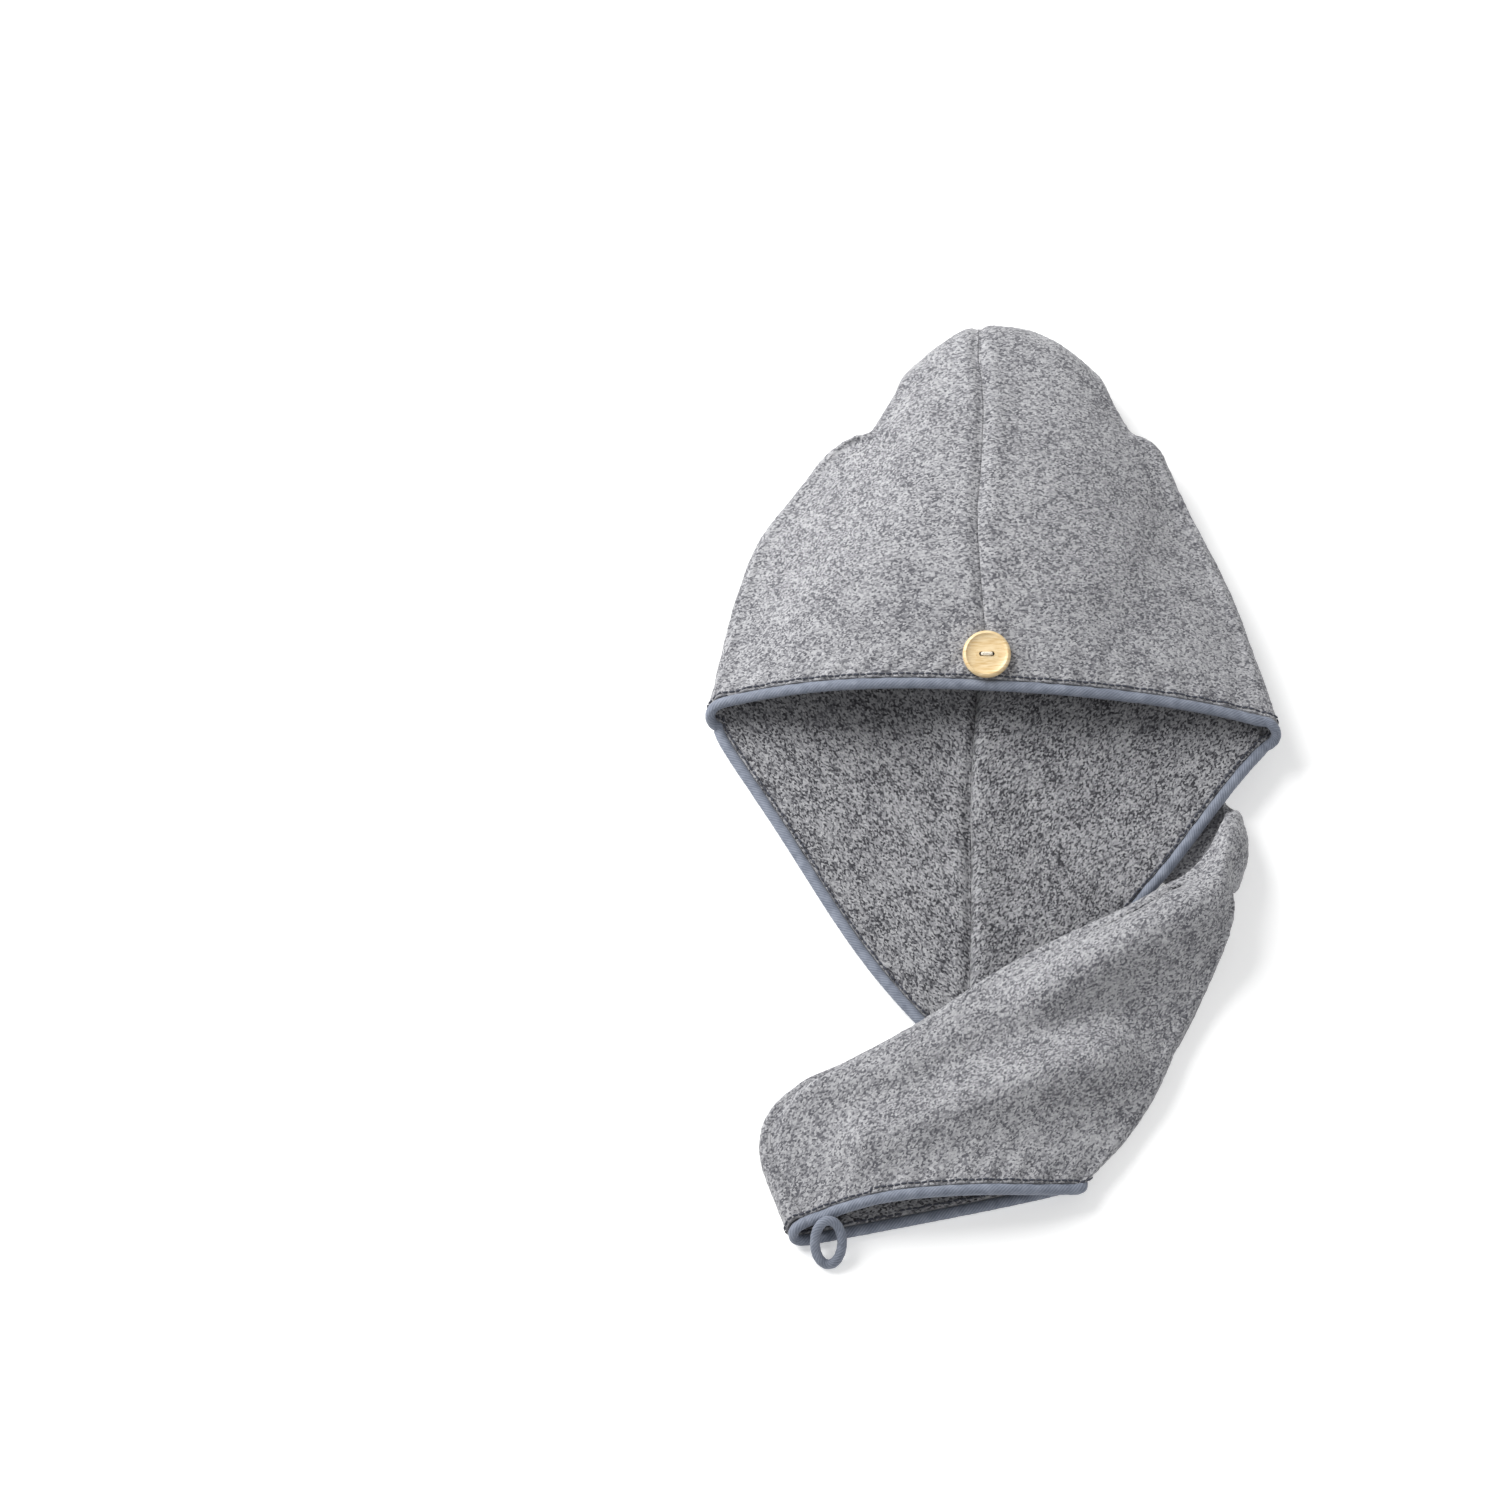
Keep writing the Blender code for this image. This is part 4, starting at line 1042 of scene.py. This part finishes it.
def button_frame(grid, facing):
    """The button's own axes on the front seam, at the place where the CAD's button lies."""
    low, high = (np.array(corner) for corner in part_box("button"))
    centre = (low + high) / 2
    away = np.linalg.norm(grid - centre, axis=-1)
    near = np.argsort(away.ravel())[: int(BUTTON_BED * FINE)]
    normal = unit(facing.reshape(-1, 3)[near].mean(axis=0))
    across = unit(np.array([1.0, 0.0, 0.0]) - normal * normal[0])
    turn = np.eye(4)
    turn[:3, :3] = np.stack([across, np.cross(normal, across), normal], axis=1)
    turn[:3, 3] = centre - normal * BUTTON_THICKNESS / 2
    return turn


def turned_button(turn, finish):
    """The button: a rounded rim round a dished face, with two drilled holes."""
    r, h, d = BUTTON_DIAMETER / 2, BUTTON_THICKNESS, BUTTON_DISH * DISH_DEEPENED
    inner = r - BUTTON_RIM
    profile = [(0.0, 0.0), (r - BUTTON_FOOT_IN, 0.0)]
    for step in range(BUTTON_ARC_STEPS + 1):
        angle = -math.pi / 2 + math.pi * step / BUTTON_ARC_STEPS
        out = r - BUTTON_ROUND + BUTTON_ROUND * math.cos(angle)
        profile.append((out, h / 2 + (h / 2) * math.sin(angle)))
    profile += [(inner + out, h - down) for out, down in BUTTON_LIP]
    profile += [(inner - DISH_EDGE_IN, h - d * DISH_EDGE_DOWN), (inner * DISH_FLAT, h - d)]
    profile.append((0.0, h - d * DISH_MIDDLE_DOWN))
    sides = BUTTON_SIDES
    vertices = [(0.0, 0.0, 0.0)]
    faces = []
    for radius, z in profile[1:-1]:
        for i in range(sides):
            angle = 2 * math.pi * i / sides
            vertices.append((radius * math.cos(angle), radius * math.sin(angle), z))
    vertices.append((0.0, 0.0, profile[-1][1]))
    rings = len(profile) - 2
    for i in range(sides):
        k = (i + 1) % sides
        faces.append((0, 1 + k, 1 + i))
        for ring in range(rings - 1):
            a = 1 + ring * sides
            faces.append((a + i, a + k, a + sides + k, a + sides + i))
        last = 1 + (rings - 1) * sides
        faces.append((last + i, last + k, len(vertices) - 1))
    grain = np.array(vertices) * MM
    piece = new_piece("turned_button", vertices, faces, grain, finish)
    for sign in (-1, 1):
        bpy.ops.mesh.primitive_cylinder_add(
            vertices=BORE_SIDES,
            radius=BUTTON_HOLE / 2,
            depth=h * BORE_DEPTHS,
            location=(sign * BUTTON_HOLE_SPACING / 2, 0, 0),
        )
        drill = bpy.context.object
        bore = piece.modifiers.new("hole", "BOOLEAN")
        bore.operation = "DIFFERENCE"
        bore.solver = "EXACT"
        bore.object = drill
        bpy.context.view_layer.objects.active = piece
        with bpy.context.temp_override(object=piece, active_object=piece):
            bpy.ops.object.modifier_apply(modifier=bore.name)
        bpy.data.objects.remove(drill, do_unlink=True)
    piece.data.transform(Matrix(turn.tolist()))
    piece.data.set_sharp_from_angle(angle=SHARP_ANGLE)
    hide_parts("button")


def button_stitch(turn, finish):
    """The thread that holds the button: strands from hole to hole, and down through both."""
    r = THREAD_DIAMETER / 2
    half = BUTTON_HOLE_SPACING / 2
    top = BUTTON_THICKNESS - BUTTON_DISH + r * STRAND_LIFT
    vertices, faces, grain = [], [], []
    for strand in (-1, 0, 1):
        y = strand * r * STRAND_APART
        rise = top + (STRAND_CROWN if strand == 0 else 0.0)
        route = []
        for step in range(STRAND_STEPS + 1):
            t = step / STRAND_STEPS
            x = -half * math.cos(math.pi * t)
            climb = STRAND_CLIMB * math.sin(math.pi * t) ** STRAND_CLIMB_POWER
            z = rise * min(1.0, STRAND_FOOT + climb)
            route.append(np.array([x, y * (0.5 + 0.5 * math.sin(math.pi * t)), z]))
        start = len(vertices)
        for i, spot in enumerate(route):
            run = unit(route[min(i + 1, STRAND_STEPS)] - route[max(i - 1, 0)])
            up = unit(np.cross(run, [0.0, 1.0, 0.0]))
            for j in range(STRAND_SIDES):
                angle = 2 * math.pi * j / STRAND_SIDES
                offset = np.array([0.0, 1.0, 0.0]) * math.cos(angle) + up * math.sin(angle)
                skin = spot + offset * r * STRAND_THICKNESS
                vertices.append(turn[:3, :3] @ skin + turn[:3, 3])
                along, apart = STRAND_GRAIN_STEPS
                grain.append((i * along, angle * r * MM, strand * apart))
        faces += tube_faces(start, STRAND_STEPS + 1, STRAND_SIDES)
    piece = new_piece("button_stitch", vertices, faces, grain, finish)
    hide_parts("button_thread")


def tape_loop(finish):
    """The button loop, a narrow roll of the tape that leans out of the tail's end."""
    low, high = (np.array(corner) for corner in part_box("loop"))
    centre = (low + high) / 2
    x_axis = np.array([1.0, 0.0, 0.0])
    y_axis = np.array([0.0, math.cos(LOOP_TILT), math.sin(LOOP_TILT)])
    centre += np.array(LOOP_SHIFT)
    half_width = (LOOP_WIDTH * LOOP_NARROWED - LOOP_CORD) / 2
    half_length = (LOOP_LENGTH - LOOP_CORD) / 2
    centres, outs = [], []
    for i in range(LOOP_STEPS):
        angle = 2 * math.pi * i / LOOP_STEPS
        c, s = math.cos(angle), math.sin(angle)
        centres.append(centre + x_axis * c * half_width + y_axis * s * half_length)
        outs.append(unit(x_axis * c / half_width + y_axis * s / half_length))
    ups = np.tile(np.cross(x_axis, y_axis), (LOOP_STEPS, 1))
    radii = np.full(LOOP_STEPS, LOOP_CORD / 2)
    tape_round("tape_loop", "loop", np.array(centres), np.array(outs), ups, radii, finish)


def floor_and_light():
    """A plain white floor with a faint glow, a soft light from the upper left, a pale surround."""
    mesh = bpy.data.meshes.new("floor")
    turns = ((-1, -1), (1, -1), (1, 1), (-1, 1))
    corners = [(x * FLOOR_REACH, y * FLOOR_REACH, 0) for x, y in turns]
    mesh.from_pydata(corners, [], [(0, 1, 2, 3)])
    floor = new_object("floor", mesh)
    floor.location.z = -FLOOR_DROP
    paper, tree = new_material("white_paper")
    grain = add(tree, "TexCoord")
    fine = add(tree, "TexNoise", Vector=grain.outputs["Object"], Scale=PAPER_GRAIN)
    finish_material(
        tree, linear("#F7F7F6"), 0.9, (fine.outputs["Fac"], 0.05, 0.0002),
        Emission_Color=linear("#FFFFFF"), Emission_Strength=FLOOR_GLOW,
    )
    mesh.materials.append(paper)
    world = bpy.data.worlds.new("surround")
    bpy.context.scene.world = world
    world.use_nodes = True
    light = world.node_tree.nodes["Background"].inputs
    light["Color"].default_value = linear("#F8F9FB")
    light["Strength"].default_value = WORLD_LIGHT
    for name, spot, size, power in LAMPS:
        lamp = bpy.data.lights.new(name, "AREA")
        lamp.shape = "DISK"
        lamp.size = size
        lamp.energy = power
        holder = new_object(name, lamp)
        holder.location = spot
        holder.rotation_euler = (-Vector(spot)).to_track_quat("-Z", "Y").to_euler()


def plain_colours():
    """Shows the colours straight, so that white paper stays white."""
    view = bpy.context.scene.view_settings
    view.view_transform = "Standard"
    view.look = "None"
    view.exposure = 0.0
    view.gamma = 1.0


def photograph_camera():
    """A long lens that looks down on the towel from its tail's side."""
    aim = Vector(CAMERA_AIM)
    out = Vector((0, -math.cos(CAMERA_ELEVATION), math.sin(CAMERA_ELEVATION)))
    lens = bpy.data.cameras.new("camera")
    lens.sensor_width = SENSOR
    lens.lens = SENSOR * CAMERA_DISTANCE / FRAME_WIDTH
    camera = new_object("camera", lens)
    camera.location = aim + out * CAMERA_DISTANCE
    camera.rotation_euler = out.to_track_quat("Z", "Y").to_euler()
    bpy.context.scene.camera = camera


def main():
    tape = binding_tape()
    fleece = (
        coral_fleece("coral_fleece", ("#59595E", "#7B7B7F", "#99999C", "#B6B6B8")),
        # The lining's copy has darker tones: painted shade for the insides of the hood and tail,
        # where little light reaches
        coral_fleece("coral_fleece_lining_painted_shade", ("#36363A", "#616165", "#8C8C8F", "#ABABAD")),
    )
    rings, crown = rings_of_surface()
    rings = with_soft_folds(rings) + TO_FRAME
    facing = normals(rings)
    middle = rings - facing * WALL / 2
    split = crown + FOLD_STEPS
    half = PANEL_COLUMNS
    rows = {"hood": slice(0, split + 1), "tail": slice(split, None)}
    columns = {"right": slice(0, half + 1), "left": slice(half, None)}
    made = {}
    for node, number, runs, allowance in PANELS:
        bag, side = node.split("_")
        grid, out = rings[rows[bag], columns[side]], facing[rows[bag], columns[side]]
        outer, inner = fleece_panel(
            node + "_fleece", node, grid, out, number, runs, allowance, fleece
        )
        made[node] = (outer, inner, out)
    edge_tape("mouth_tape", "mouth_binding", middle[0], middle[1], tape)
    edge_tape("tail_tape", "tail_binding", middle[-1], middle[-2], tape)
    seam_thread = twisted_thread("polyester_seam_thread", "#33353E", "#444752")
    hood_faces, tail_faces = [], []
    for side in ("right", "left"):
        outer, inner, out = made["hood_" + side]
        hood_faces += [(outer, out), (inner, -out)]
        outer, inner, out = (grid[::-1] for grid in made["tail_" + side])
        tail_faces += [(outer, out), (inner, -out)]
    stitch_row("mouth_stitches", hood_faces, seam_thread)
    stitch_row("tail_stitches", tail_faces, seam_thread)
    turn = button_frame(rings[:crown], facing[:crown])
    turned_button(turn, turned_beech())
    button_stitch(turn, twisted_thread("cotton_thread", "#D9CFBC", "#F3ECDD"))
    tape_loop(tape)
    floor_and_light()
    plain_colours()
    photograph_camera()


main()
